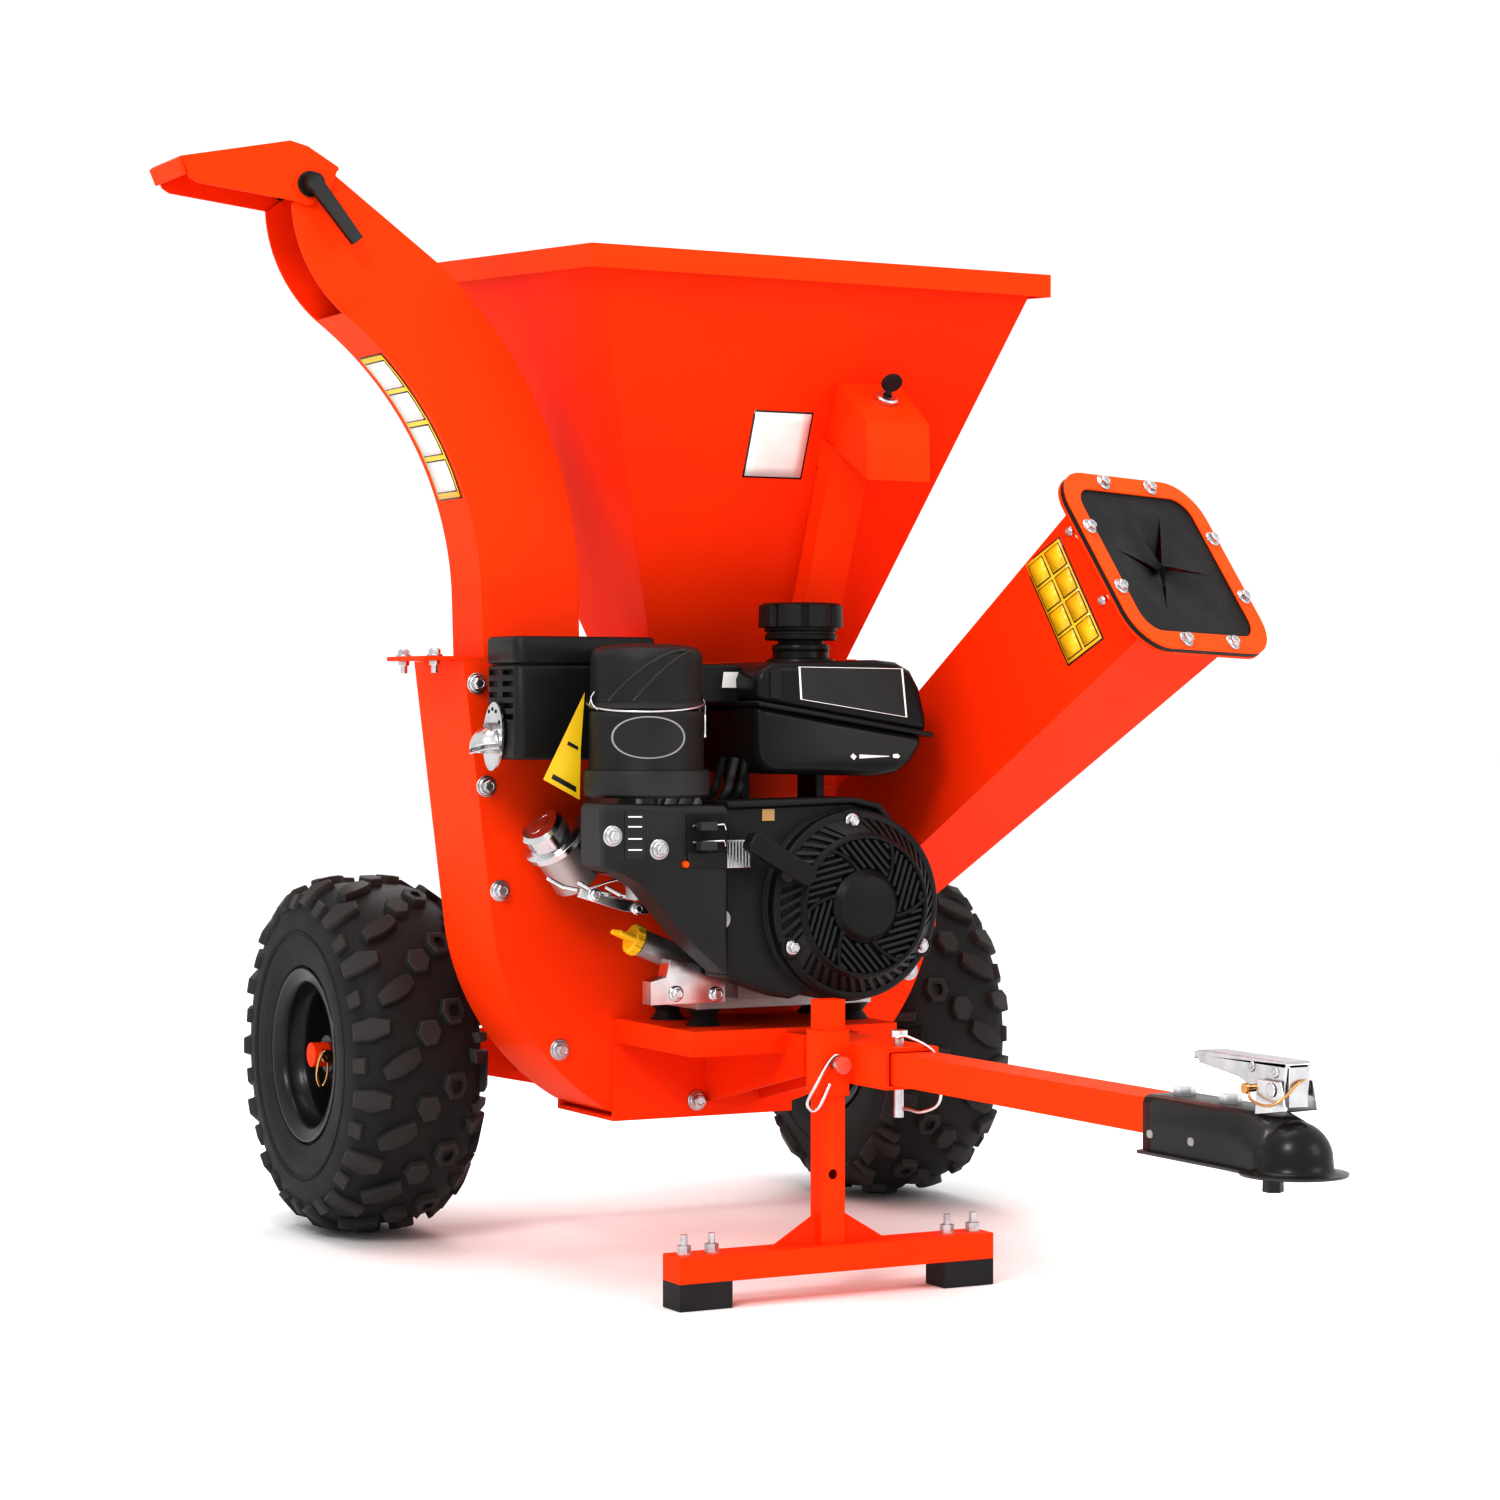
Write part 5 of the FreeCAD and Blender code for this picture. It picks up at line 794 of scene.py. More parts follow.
def make_tank():
    """Two moulded halves on a slanting seam, with brackets and a neck."""
    bm = bmesh.new()
    upper = [(-70, 545), (-71, 566), (-66, 577), (-54, 582), (60, 585), (82, 583), (98, 575), (108, 558),
            (115, 532), (117, 515), (20, 530)]
    yz_prism(bm, upper, 333, 481)
    lower = [(-69, 543), (-68, 494), (-63, 483), (-52, 477), (60, 474), (84, 477), (100, 487), (111, 502),
            (114, 513), (20, 528)]
    yz_prism(bm, lower, 336, 478)
    tank = piece("tank_halves", bm, "chassis", TANK, bevel=0.009, angle=50, segments=5, slot="tank_plastic")
    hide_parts("fuel_tank")
    bm = bmesh.new()
    yz_prism(bm, [(-71, 546), (119, 516), (121, 511), (-71, 541)], 331, 484)
    yz_prism(bm, [(-111, 544), (-111, 574), (-104, 580), (-66, 580), (-66, 544)], 346, 438)
    yz_prism(bm, [(-58, 548), (-58, 575), (-44, 576), (-44, 546)], 478, 483)
    yz_prism(bm, [(-40, 432), (-40, 478), (-30, 478), (-30, 432)], 353, 391)
    yz_prism(bm, [(42, 432), (42, 478), (52, 478), (52, 432)], 353, 391)
    piece("tank_seam", bm, "chassis", TANK, bevel=0.0022, angle=40, segments=3, slot="tank_plastic")
    bm = bmesh.new()
    neck = facing(TOP, 415, 12, 583)
    add_lathe(bm, [(0.034, 0), (0.033, 0.0025), (0.0275, 0.004), (0.0268, 0.010), (0.0278, 0.0115),
            (0.0278, 0.0150), (0.0265, 0.0170), (0.0235, 0.0172), (0.0235, -0.01)], neck, 48)
    piece("tank_neck", bm, "chassis", TANK, angle=35, slot="tank_plastic")


def make_tank_marks():
    """The blank name panel in its pale border, a level mark and a small blank label."""
    panel = [(-27, 578), (87, 577), (92, 530), (-25, 547)]
    border = bmesh.new()
    corners = [Vector(p) for p in panel]
    middle = sum(corners, Vector((0, 0))) / 4
    inner = [c + (middle - c).normalized() * 2.2 for c in corners]
    for index in range(4):
        after = (index + 1) % 4
        yz_prism(border, [corners[index], corners[after], inner[after], inner[index]], 480.8, 481.5)
    piece("tank_panel_border", border, "chassis", LABEL_WHITE, angle=40)
    plates("tank_panel", [[tuple(c) for c in inner]], 480.7, 481.25, LABEL_BLACK, angle=40)
    bm = bmesh.new()
    yz_prism(bm, [(35, 489.5), (38, 493), (34, 496), (31, 493)], 477.9, 478.5)
    yz_prism(bm, [(41, 495), (41, 491), (74, 492.6), (74, 493.4)], 477.9, 478.5)
    yz_prism(bm, [(78, 491.5), (84, 491), (86, 493), (83, 495.5), (78, 495)], 477.9, 478.5)
    piece("tank_level_mark", bm, "chassis", LABEL_WHITE, angle=40)
    plates("tank_small_label", [[(-86, 558), (-84, 573), (-68, 573), (-70, 558)]], 438.2, 438.8,
            LABEL_WHITE, angle=40)


def make_fuel_cap():
    """The lobed screw cap on its collar."""
    bm = bmesh.new()
    base = facing(TOP, 415, 12, 603.4)
    outline = []
    lobes = 8
    for step, (x, y) in enumerate(ring_points(1, 160)):
        groove = abs(lobes * step / 160 % 1 - 0.5) * 2
        radius = 0.0408 - 0.0036 * max(0, 1 - groove / 0.30) ** 0.7
        outline.append((radius * x, radius * y))
    add_prism(bm, outline, base, 0.0130, 0.0340, inset=0.0008)
    add_lathe(bm, [(0.0395, 0.0340), (0.0360, 0.0362), (0.0300, 0.0366), (0.0280, 0.0355), (0, 0.0352)],
            base, 64)
    add_lathe(bm, [(0, -0.0120), (0.0222, -0.0120), (0.0222, 0.0005), (0.0330, 0.0005), (0.0345, 0.0015),
            (0.0345, 0.0060), (0.0325, 0.0070), (0.0325, 0.0085), (0.0350, 0.0095), (0.0350, 0.0128),
            (0.0385, 0.0132)], base, 64)
    cap = piece("fuel_cap_lobed", bm, "fuel_cap", PLASTIC, bevel=0.0010, angle=40, segments=2,
            slot="black_plastic")
    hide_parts("fuel_cap")


# ---- air cleaner and its cover ---------------------------------------------------------------

CLEANER = (460, -176)
CLEANER_AXIS = facing(TOP, *CLEANER, 0)


def on_cleaner(turn, z, radius):
    """A place on the canister: degrees to the right of the side that faces the front right."""
    angle = math.radians(turn - 28)
    return at(CLEANER[0] + radius * math.cos(angle), CLEANER[1] + radius * math.sin(angle), z)


def turned(points):
    """A turned profile in metres, from one in millimetres."""
    return [(r / 1000, z / 1000) for r, z in points]


def make_air_cleaner():
    """Canister body, and its cap with raised arcs."""
    bm = bmesh.new()
    add_lathe(bm, turned([(0, 456.4), (55, 456.4), (58.4, 459), (58.7, 478), (57.6, 481.4), (54.0, 482.6),
            (53.4, 484), (53.4, 530), (52.6, 535.8), (50, 536.6), (40, 536.6), (40, 470), (0, 470)]),
            CLEANER_AXIS, 96)
    body = piece("cleaner_body", bm, "chassis", SHROUD, angle=30, slot="black_plastic")
    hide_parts("air_cleaner_body")
    bm = bmesh.new()
    add_lathe(bm, turned([(40, 537.5), (52.4, 537.5), (53.8, 538.5), (53.8, 543), (52.6, 544.5),
            (52.2, 580), (51.6, 587), (49.5, 591.5), (46, 594.4), (38, 596.6), (24, 598.0), (0, 598.6)]),
            CLEANER_AXIS, 96)
    for start, stop in (((-40, 545), (46, 592)), ((-12, 545), (58, 591))):
        line = []
        for k in range(13):
            share = k / 12
            turn = start[0] + (stop[0] - start[0]) * share
            z = start[1] + (stop[1] - start[1]) * math.sin(share * math.pi / 2)
            line.append(on_cleaner(turn, z, 52.4 - max(0, z - 584) * 0.22))
        add_tube(bm, line, 0.0013, 8)
    cover = piece("cleaner_cap", bm, "chassis", SHROUD, angle=30, slot="black_plastic")
    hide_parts("air_cleaner_cover")


def make_cleaner_badge():
    """A blank oval badge in a grey rim, bent round the canister."""
    for name, scale, look, lift in (("cleaner_badge", 1.0, LABEL_GREY, 53.7),
            ("cleaner_badge_face", 0.93, LABEL_BLACK, 53.9)):
        bm = bmesh.new()
        rings = []
        for k in range(1, 7):
            share = scale * k / 6
            rings.append([bm.verts.new(on_cleaner(4 + math.degrees(37 * share * x / 54),
                    512 + 19.5 * share * y, lift)) for x, y in ring_points(1, 48)])
        bm.faces.new(rings[0])
        add_skin(bm, rings)
        piece(name, bm, "chassis", look, angle=60)


def make_cleaner_wires():
    """The wire bail round the canister, and the catch that it hooks on."""
    bm = bmesh.new()
    bail = [on_cleaner(turn, 535.5 + 7 * (turn / 78) ** 2, 55.2) for turn in range(-96, 79, 6)]
    add_tube(bm, bail, 0.0011, 8)
    add_tube(bm, [on_cleaner(-70, 541, 55.2), on_cleaner(-62, 550, 56.0), on_cleaner(-57, 554, 55.4)],
            0.0009, 8)
    add_tube(bm, [on_cleaner(-66, 549, 55.2), on_cleaner(-60, 542, 56.4), on_cleaner(-52, 537, 55.2)],
            0.0009, 8)
    piece("cleaner_bail", bm, "chassis", ZINC, angle=60, slot="zinc")
    bm = bmesh.new()
    catch = basis(at(460, -117.6, 523.5), (0, 1, 0), up=(0, 0, 1))
    add_prism(bm, rounded(0.0125, 0.023, 0.004, 4), catch, -0.0012, 0.0008)
    add_tube(bm, smooth_path([at(455, -117.8, 533), at(454.5, -117.8, 541), at(460, -117.8, 547.5),
            at(465.5, -117.8, 541), at(465, -117.8, 533)], 5), 0.0011, 8)
    add_tube(bm, [at(453, -118.6, 513), at(467, -118.6, 513)], 0.0019, 10)
    clip = piece("cleaner_catch", bm, "air_cleaner_latch", ZINC, bevel=0.0008, angle=40, slot="zinc")
    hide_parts("air_cleaner_latch")


def make_hang_tag():
    """A blank yellow tag beside the canister, with two plain bars."""
    plates("hang_tag", [[(-229, 553), (-271, 473), (-234, 454), (-233, 500)]], 438, 438.8, LABEL_YELLOW,
            angle=40)
    bm = bmesh.new()
    yz_prism(bm, [(-263, 474), (-261, 478), (-238, 466), (-238, 461)], 438.9, 439.1)
    yz_prism(bm, [(-247, 505), (-245.6, 508), (-236, 503), (-236, 500)], 438.9, 439.1)
    piece("hang_tag_bars", bm, "chassis", LABEL_BLACK, angle=40)


def make_intake_cover():
    """The moulded cover below the air cleaner."""
    bm = bmesh.new()
    face = [(-250, 452), (-250, 397), (-246, 392), (-225, 388), (-201, 373), (-160, 327), (-119, 292),
            (-120, 330), (-119, 449)]
    yz_prism(bm, face, 471, 517)
    cover = piece("intake_shell", bm, "chassis", SHROUD, bevel=0.005, angle=42, segments=4,
            slot="black_plastic")
    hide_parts("intake_cover", "blower_housing")


def make_blower_shell():
    """The engine's shroud behind the starter."""
    bm = bmesh.new()
    base = facing(FRONT, 452.8, 18, 354)
    add_lathe(bm, [(0.060, 0), (0.0905, 0.0), (0.0918, 0.002), (0.0918, 0.044), (0.0905, 0.048),
            (0.0885, 0.0495), (0.0840, 0.0497), (0.0820, 0.045)], base, 96)
    yz_prism(bm, [(-112, 446), (-112, 289), (-45, 267), (60, 300), (60, 352), (58, 430), (44, 444),
            (20, 449)], 453, 498)
    yz_prism(bm, [(-114, 453), (-114, 446), (20, 449), (46, 443), (58, 430), (63, 434), (50, 449),
            (22, 455)], 450, 504)
    piece("blower_shell", bm, "chassis", PLASTIC, bevel=0.0035, angle=42, segments=3, slot="black_plastic")


def make_fuel_hoses():
    """Three short hoses up to the tank's side."""
    bm = bmesh.new()
    for x, y in ((430, -96), (452, -82), (470, -104)):
        add_tube(bm, smooth_path([at(x, y, 452), at(x + 4, y + 6, 464), at(x - 6, y + 14, 474),
                at(x - 8, y + 20, 492)], 6), 0.0042, 12)
    piece("fuel_hoses", bm, "chassis", SOFT_RUBBER, angle=60, slot="soft_rubber")


def make_cover_hardware():
    """The lever's recess as a near-black plate of painted shade, the lever's plate, the cover's screws and
    wires, and a ribbed strap.
    """
    # a near-black plate paints the shade in the lever's recess
    plates("lever_recess_painted_shade", [[(-164, 442), (-164, 404), (-123, 404), (-123, 442)]], 517.0, 518.0, PAINTED_SHADE,
            angle=40)
    bm = bmesh.new()
    for y, z, x in ((-238, 423, 517), (-191, 410, 517), (-120.5, 344, 504)):
        add_lathe(bm, [(0.0098, 0), (0.0090, 0.0010), (0, 0.0010)], facing(FRONT, x, y, z), 28)
        add_hex_bolt(bm, facing(FRONT, x + 1, y, z), 0.0044, 0.0036, flange=0.0076)
    for z in (431, 416):
        add_tube(bm, [at(519, -158, z), at(519.4, -126, z + 1), at(519.4, -124, z - 4)], 0.0013, 8)
    piece("cover_hardware", bm, "chassis", ZINC, bevel=0.0003, angle=30, slot="zinc")
    bm = bmesh.new()
    for k in range(9):
        yz_prism(bm, [(-119 + 3.3 * k, 416), (-119 + 3.3 * k, 392), (-117 + 3.3 * k, 392),
                (-117 + 3.3 * k, 416)], 504, 506.4)
    yz_prism(bm, [(-119, 417), (-119, 391), (-90, 391), (-90, 417)], 502, 505)
    piece("lever_strap", bm, "chassis", CHROME, bevel=0.0004, angle=40, slot="zinc")
    plates("lever_plate", [[(-162, 407), (-162, 393), (-122, 392), (-122, 406)]], 517.0, 519.5, PLASTIC,
            bevel=0.0015, angle=40, segments=3)


def make_cover_marks():
    """A small orange button, and blank labels with plain bars."""
    bm = bmesh.new()
    add_lathe(bm, [(0.0032, 0), (0.0028, 0.0012), (0, 0.0014)], facing(FRONT, 519.5, -165, 396), 20)
    add_lathe(bm, [(0.0036, 0), (0.0036, -0.0024)], facing(FRONT, 519.5, -165, 396), 20)
    piece("cover_button", bm, "chassis", RING_ORANGE, angle=40)
    plates("cover_plate_dark", [[(-226, 446), (-226, 402), (-206, 401), (-206, 445)]], 517.1, 517.7,
            LABEL_BLACK, angle=40)
    bm = bmesh.new()
    for z in (441, 432, 421, 411):
        yz_prism(bm, [(-223, z), (-223, z - 1.4), (-209, z - 1.6), (-209, z - 0.2)], 517.7, 517.9)
    piece("cover_plate_marks", bm, "chassis", LABEL_WHITE, angle=40)
    plates("blower_small_label", [[(-75, 445), (-75, 434), (-62, 434), (-62, 445)]], 498.2, 499, LABEL_TAN,
            angle=40)


# ---- muffler guard, exhaust and starter motor ------------------------------------------------

def make_guard():
    """The heat guard: a body and a lid with soft corners, cut by rows of slots."""
    bm = bmesh.new()
    middle = facing(TOP, 362.5, -207, 0)
    add_prism(bm, rounded(0.072, 0.145, 0.009, 5), middle, 0.4905, 0.5795)
    add_prism(bm, rounded(0.0735, 0.1465, 0.010, 5), middle, 0.5800, 0.6058)
    guard = piece("guard_shell", bm, "chassis", PLASTIC, bevel=0.004, angle=50, segments=3,
            slot="black_plastic")
    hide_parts("muffler_guard")
    cutter = bmesh.new()
    for row in range(5):
        z = 528 + 10.4 * row
        for x in (330, 366):
            add_box(cutter, facing(TOP, x, -281, z), (0, 0.024), (-0.004, 0.006), (0, 0.0048))
    for x, length in ((356, 0.014), (380, 0.010)):
        for k in range(9):
            add_box(cutter, facing(TOP, x, -262 + 12.5 * k, 601), (0, length), (0, 0.0065), (0, 0.008))
    mesh = bpy.data.meshes.new("guard_slots")
    bmesh.ops.recalc_face_normals(cutter, faces=cutter.faces)
    cutter.to_mesh(mesh)
    cutter.free()
    tool = bpy.data.objects.new("guard_slots", mesh)
    bpy.context.scene.collection.objects.link(tool)
    cut = guard.modifiers.new("slots", "BOOLEAN")
    cut.object = tool
    cut.operation = "DIFFERENCE"
    cut.solver = "EXACT"
    bpy.context.view_layer.update()
    done = bpy.data.meshes.new_from_object(guard.evaluated_get(bpy.context.evaluated_depsgraph_get()))
    guard.modifiers.clear()
    guard.data = done
    done.set_sharp_from_angle(angle=math.radians(32))
    bpy.data.objects.remove(tool)


def make_exhaust_deflector():
    """The bright outlet: an oval flange plate with a bulged hood over the pipe."""
    base = facing(RIGHT, 352, -281.5, 512) @ Matrix.Diagonal((1.12, 1.12, 1.0, 1))
    bm = bmesh.new()
    plate = [(0.020 * x + 0.003 * y, 0.029 * y) for x, y in ring_points(1, 40)]
    add_prism(bm, plate, base, 0.0, 0.0022)
    rows = []
    for j in range(9):
        polar = math.pi / 2 * j / 8
        row = []
        for i in range(25):
            angle = math.pi * i / 24 + math.radians(12)
            radius = 0.0175 * math.sin(polar) + 0.0002
            row.append(bm.verts.new(base @ Vector((radius * math.cos(angle) - 0.002,
                    -0.010 + radius * math.sin(angle) * 1.1, 0.0022 + 0.021 * math.cos(polar)))))
        rows.append(row)
    add_skin(bm, rows, around=False)
    add_tube(bm, [base @ Vector((-0.0195, -0.0135, 0.003)), base @ Vector((-0.0175, -0.0135, 0.015)),
            base @ Vector((-0.002, -0.0140, 0.0235)), base @ Vector((0.0135, -0.0100, 0.015)),
            base @ Vector((0.0150, -0.0095, 0.003))], 0.0011, 8)
    hood = piece("exhaust_hood", bm, "chassis", CHROME, angle=40, slot="zinc")
    thick = hood.modifiers.new("thick", "SOLIDIFY")
    thick.thickness = 0.001
    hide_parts("exhaust_deflector")
    # near-black discs on the plate paint the shade inside its small holes
    bm = bmesh.new()
    for x, y in ((-0.007, 0.021), (0.0, 0.023), (0.007, 0.021), (0.014, 0.012)):
        add_lathe(bm, [(0, 0.0026), (0.0016, 0.0026), (0.0016, 0.001)],
                base @ Matrix.Translation((x, y, 0)), 14)
    piece("exhaust_hole_shade", bm, "chassis", PAINTED_SHADE, angle=40)


def make_rocker_cover():
    """The bright pressed rocker cover: a teardrop cap with a raised oval, on a flange."""
    way = Vector((0.25, -0.62, 0.74)).normalized()
    foot = at(341, -214.5, 408.5)
    axis = basis(foot, way, up=(0, 0, 1))
    half_wide, half_high, narrowing = 0.0205, 0.0238, 0.22
    outline = [(half_wide * x * (1 - narrowing * y), half_high * y) for x, y in ring_points(1, 40)]
    bm = bmesh.new()
    add_lathe(bm, [(0, 0), (0.0298, 0), (0.0298, 0.0058), (0.0285, 0.0068), (0, 0.0068)], axis, 56)
    add_prism(bm, outline, axis, 0.005, 0.0235)
    add_prism(bm, outline, axis, 0.0235, 0.0275, inset=0.0035)
    oval = [axis @ Vector((0.0062 * x - 0.001, 0.0125 * y, 0.0272)) for x, y in ring_points(1, 40)]
    add_tube(bm, oval, 0.0007, 8, closed=True)
    can = piece("rocker_cap", bm, "chassis", CHROME, bevel=0.0012, angle=40, segments=3, slot="zinc")
    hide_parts("rocker_cover")


def make_governor():
    """Bright rods, an arm, a bracket and bolts behind and below the intake cover."""
    bm = bmesh.new()
    for y, z, x in ((-247, 380, 396), (-222, 376, 410), (-200, 372, 424)):
        add_tube(bm, [at(x, y, z), at(x + 14, y + 10, z - 8), at(x + 34, y + 16, z - 10)], 0.0022, 8)
    yz_prism(bm, [(-232, 372), (-236, 364), (-190, 350), (-164, 346), (-164, 354), (-200, 364)], 436, 440)
    yz_prism(bm, [(-166, 262), (-166, 284), (-150, 288), (-146, 304), (-120, 300), (-96, 286), (-88, 280),
            (-88, 262)], 432, 450)
    for y, z in ((-140, 272), (-98, 270)):
        add_hex_bolt(bm, facing(FRONT, 450, y, z), 0.0050, 0.004, flange=0.0075)
    add_hex_bolt(bm, facing(FRONT, 440, -220, 366), 0.0048, 0.004, flange=0.007)
    add_hex_bolt(bm, facing(FRONT, 440, -176, 352), 0.0042, 0.004, flange=0.006)
    add_tube(bm, smooth_path([at(444, -226, 372), at(450, -196, 380), at(452, -168, 370),
            at(450, -140, 366)], 5), 0.0012, 8)
    piece("governor_linkage", bm, "chassis", CHROME, bevel=0.0004, angle=35, slot="zinc")


def make_oil_cap():
    """The yellow filler cap with a finger grip."""
    way = Vector((0, -0.92, 0.38)).normalized()
    base = basis(at(414, -65 + way.y * 103.4, 279.5 + way.z * 103.4), way, up=(1, 0, 0))
    bm = bmesh.new()
    add_lathe(bm, [(0, -0.030), (0.006, -0.030), (0.006, 0.0002), (0.0132, 0.0002), (0.0142, 0.0012),
            (0.0142, 0.009), (0.0128, 0.0105), (0, 0.0105)], base, 40)
    for k in range(12):
        spin = base @ Matrix.Rotation(2 * math.pi * k / 12, 4, "Z")
        add_box(bm, spin, (0.0135, 0.0150), (-0.0016, 0.0016), (0.0012, 0.009))
    add_prism(bm, rounded(0.0055, 0.026, 0.0024, 3), base, 0.0100, 0.0262, inset=0.001)
    cap = piece("oil_cap_yellow", bm, "oil_cap", YELLOW, bevel=0.0008, angle=35, segments=2,
            slot="yellow_plastic")
    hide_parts("oil_cap")


# ---- bolts, pins and wires -------------------------------------------------------------------

def make_housing_bolts():
    """Flanged bolts round the front plate and on the discharge flange."""
    bm = bmesh.new()
    spots = [(-277, 562), (-267, 464), (-253, 364), (-190, 209), (138, 566)]
    for degrees in (-52, -24, 40):
        angle = math.radians(degrees)
        spots.append((18 + 201 * math.cos(angle), 354 + 201 * math.sin(angle)))
    places = [(300, y, z) for y, z in spots] + [(304, -43, 153)]
    for index, (x, y, z) in enumerate(places):
        spin = Matrix.Rotation(0.5 * index, 4, "Z")
        matrix = facing(FRONT, x, y, z) @ spin
        add_lathe(bm, [(0, 0), (0.0104, 0), (0.0104, 0.0014), (0.0094, 0.0020), (0, 0.0020)], matrix, 32)
        add_hex_bolt(bm, matrix @ Matrix.Translation((0, 0, 0.002)), 0.0058, 0.0050, flange=0.0086)
        add_lathe(bm, [(0.0039, 0.001), (0.0039, -0.010), (0, -0.010)], matrix, 14)
    for x, y in ((214, -316), (290, -316), (214, -150), (286, -150)):
        matrix = facing(TOP, x, y, 588) @ Matrix.Rotation(0.3, 4, "Z")
        add_hex_bolt(bm, matrix, 0.0052, 0.0048, flange=0.0076)
        add_lathe(bm, [(0.0033, 0.001), (0.0033, -0.016), (0, -0.016)], matrix, 14)
        add_hex_bolt(bm, facing(TOP, x, y, 584) @ Matrix.Rotation(math.pi, 4, "X"), 0.0048, 0.0045)
    bolts = piece("plate_bolts", bm, "chassis", ZINC, bevel=0.0003, angle=30, slot="zinc")
    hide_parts("housing_bolts")


def make_pins():
    """Lynch pins with rings at the axle's ends."""
    bm = bmesh.new()
    for sign in (-1, 1):
        y = MIDDLE_Y + sign * 355
        matrix = basis(at(13.6, y, 184), X_AXIS, up=(0, 0, 1))
        add_lathe(bm, [(0, -0.034), (0.0036, -0.032), (0.0038, 0), (0.0068, 0.0004), (0.0068, 0.0088),
                (0.0058, 0.0100), (0, 0.0100)], matrix, 28)
        ring = [at(20 + 3.5 * rise, y + sign * (4 + 5.95 * along), 170 + 17 * rise)
                for along, rise in ring_points(1, 32)]
        add_tube(bm, ring, 0.0015, 8, closed=True)
    brass = piece("lynch_pins", bm, "chassis", YELLOW_ZINC, bevel=0, angle=35)
    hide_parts("pin_keepers")


def make_hitch_wires():
    """Wire keepers on the hitch pins."""
    bm = bmesh.new()
    front = 566.5 + 13.5 + 3
    loop = smooth_path([at(front, -36, 213.5), at(front + 2, -43, 222), at(front + 2, -52, 216),
            at(front + 3, -66, 196), at(front + 1, -74, 180), at(front, -68, 172), at(front, -60, 177),
            at(front, -50, 196)], 6)
    add_tube(bm, loop, 0.0016, 8)
    low = 213.5 - 18.7
    clip = smooth_path([at(630, -7, low + 45), at(636, 2, low + 46), at(655, 20, low + 30),
            at(655, 24, low - 10), at(640, 14, low - 22), at(622, 9, low - 21), at(612, 4, low - 21)], 6)
    add_tube(bm, clip, 0.0016, 8)
    piece("hitch_wires", bm, "chassis", ZINC, angle=60, slot="zinc")


def make_latch():
    """The coupler's pressed hand lever, its cheeks, stop leg, brass safety pin and wire loop."""
    x, z = 1206, 249

    def xz(points):
        return [((x + a) / 1000, (z + b) / 1000) for a, b in points]

    side = facing(RIGHT, 0, 0, 0)
    bm = bmesh.new()
    top = [(-108, 14), (-107, 20), (-100, 22), (10, 22), (12, 20), (12, 17), (-100, 17)]
    add_prism(bm, xz(top), side, -0.012, 0.012)
    for y in (-0.0120, 0.0096):
        add_prism(bm, xz([(-104, 18), (-100, 12), (-50, 6), (-34, 0), (-26, -4), (-14, 2), (-6, -4),
                (8, -6), (12, 21)]), side, y, y + 0.0024)
    add_prism(bm, xz([(8, -13), (12, -13), (12, 20), (8, 20)]), side, -0.009, 0.009)
    add_prism(bm, xz([(-3, -14), (3, -14), (4, 14), (-4, 14)]), side, -0.0028, 0.0028)
    add_lathe(bm, [(0, -0.0185), (0.0052, -0.0185), (0.0060, -0.0172), (0.0040, -0.0170), (0.0040, 0.0170),
            (0.0060, 0.0172), (0.0052, 0.0185), (0, 0.0185)],
            side @ Matrix.Translation((x / 1000, z / 1000, 0)), 24)
    for a, b in ((-31, 15), (-1, 13)):
        add_lathe(bm, [(0.0042, 0), (0.0038, 0.0014), (0.0018, 0.0016), (0, 0.0006)],
                basis(at(x + a, -12, z + b), (0, -1, 0), up=(0, 0, 1)), 24)
    lever = piece("latch_lever", bm, "coupler_latch", ZINC, bevel=0.0009, angle=35, segments=3, slot="zinc")
    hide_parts("coupler_latch")
    bm = bmesh.new()
    pin = side @ Matrix.Translation(((x - 28) / 1000, (z - 1) / 1000, 0))
    add_lathe(bm, [(0, -0.020), (0.0034, -0.0195), (0.0030, -0.016), (0.0030, 0.0185), (0.0042, 0.019),
            (0.0042, 0.022), (0, 0.022)], pin, 20)
    loop = [(-28, -18, -1), (-18, -23, -8), (-2, -25, -11), (9, -22, -10), (14, -13, -3), (14, -2, 6),
            (11, 6, 8)]
    add_tube(bm, smooth_path([at(x + a, y, z + b) for a, y, b in loop], 6), 0.0011, 8)
    piece("latch_pin", bm, "coupler_latch", YELLOW_ZINC, angle=50)


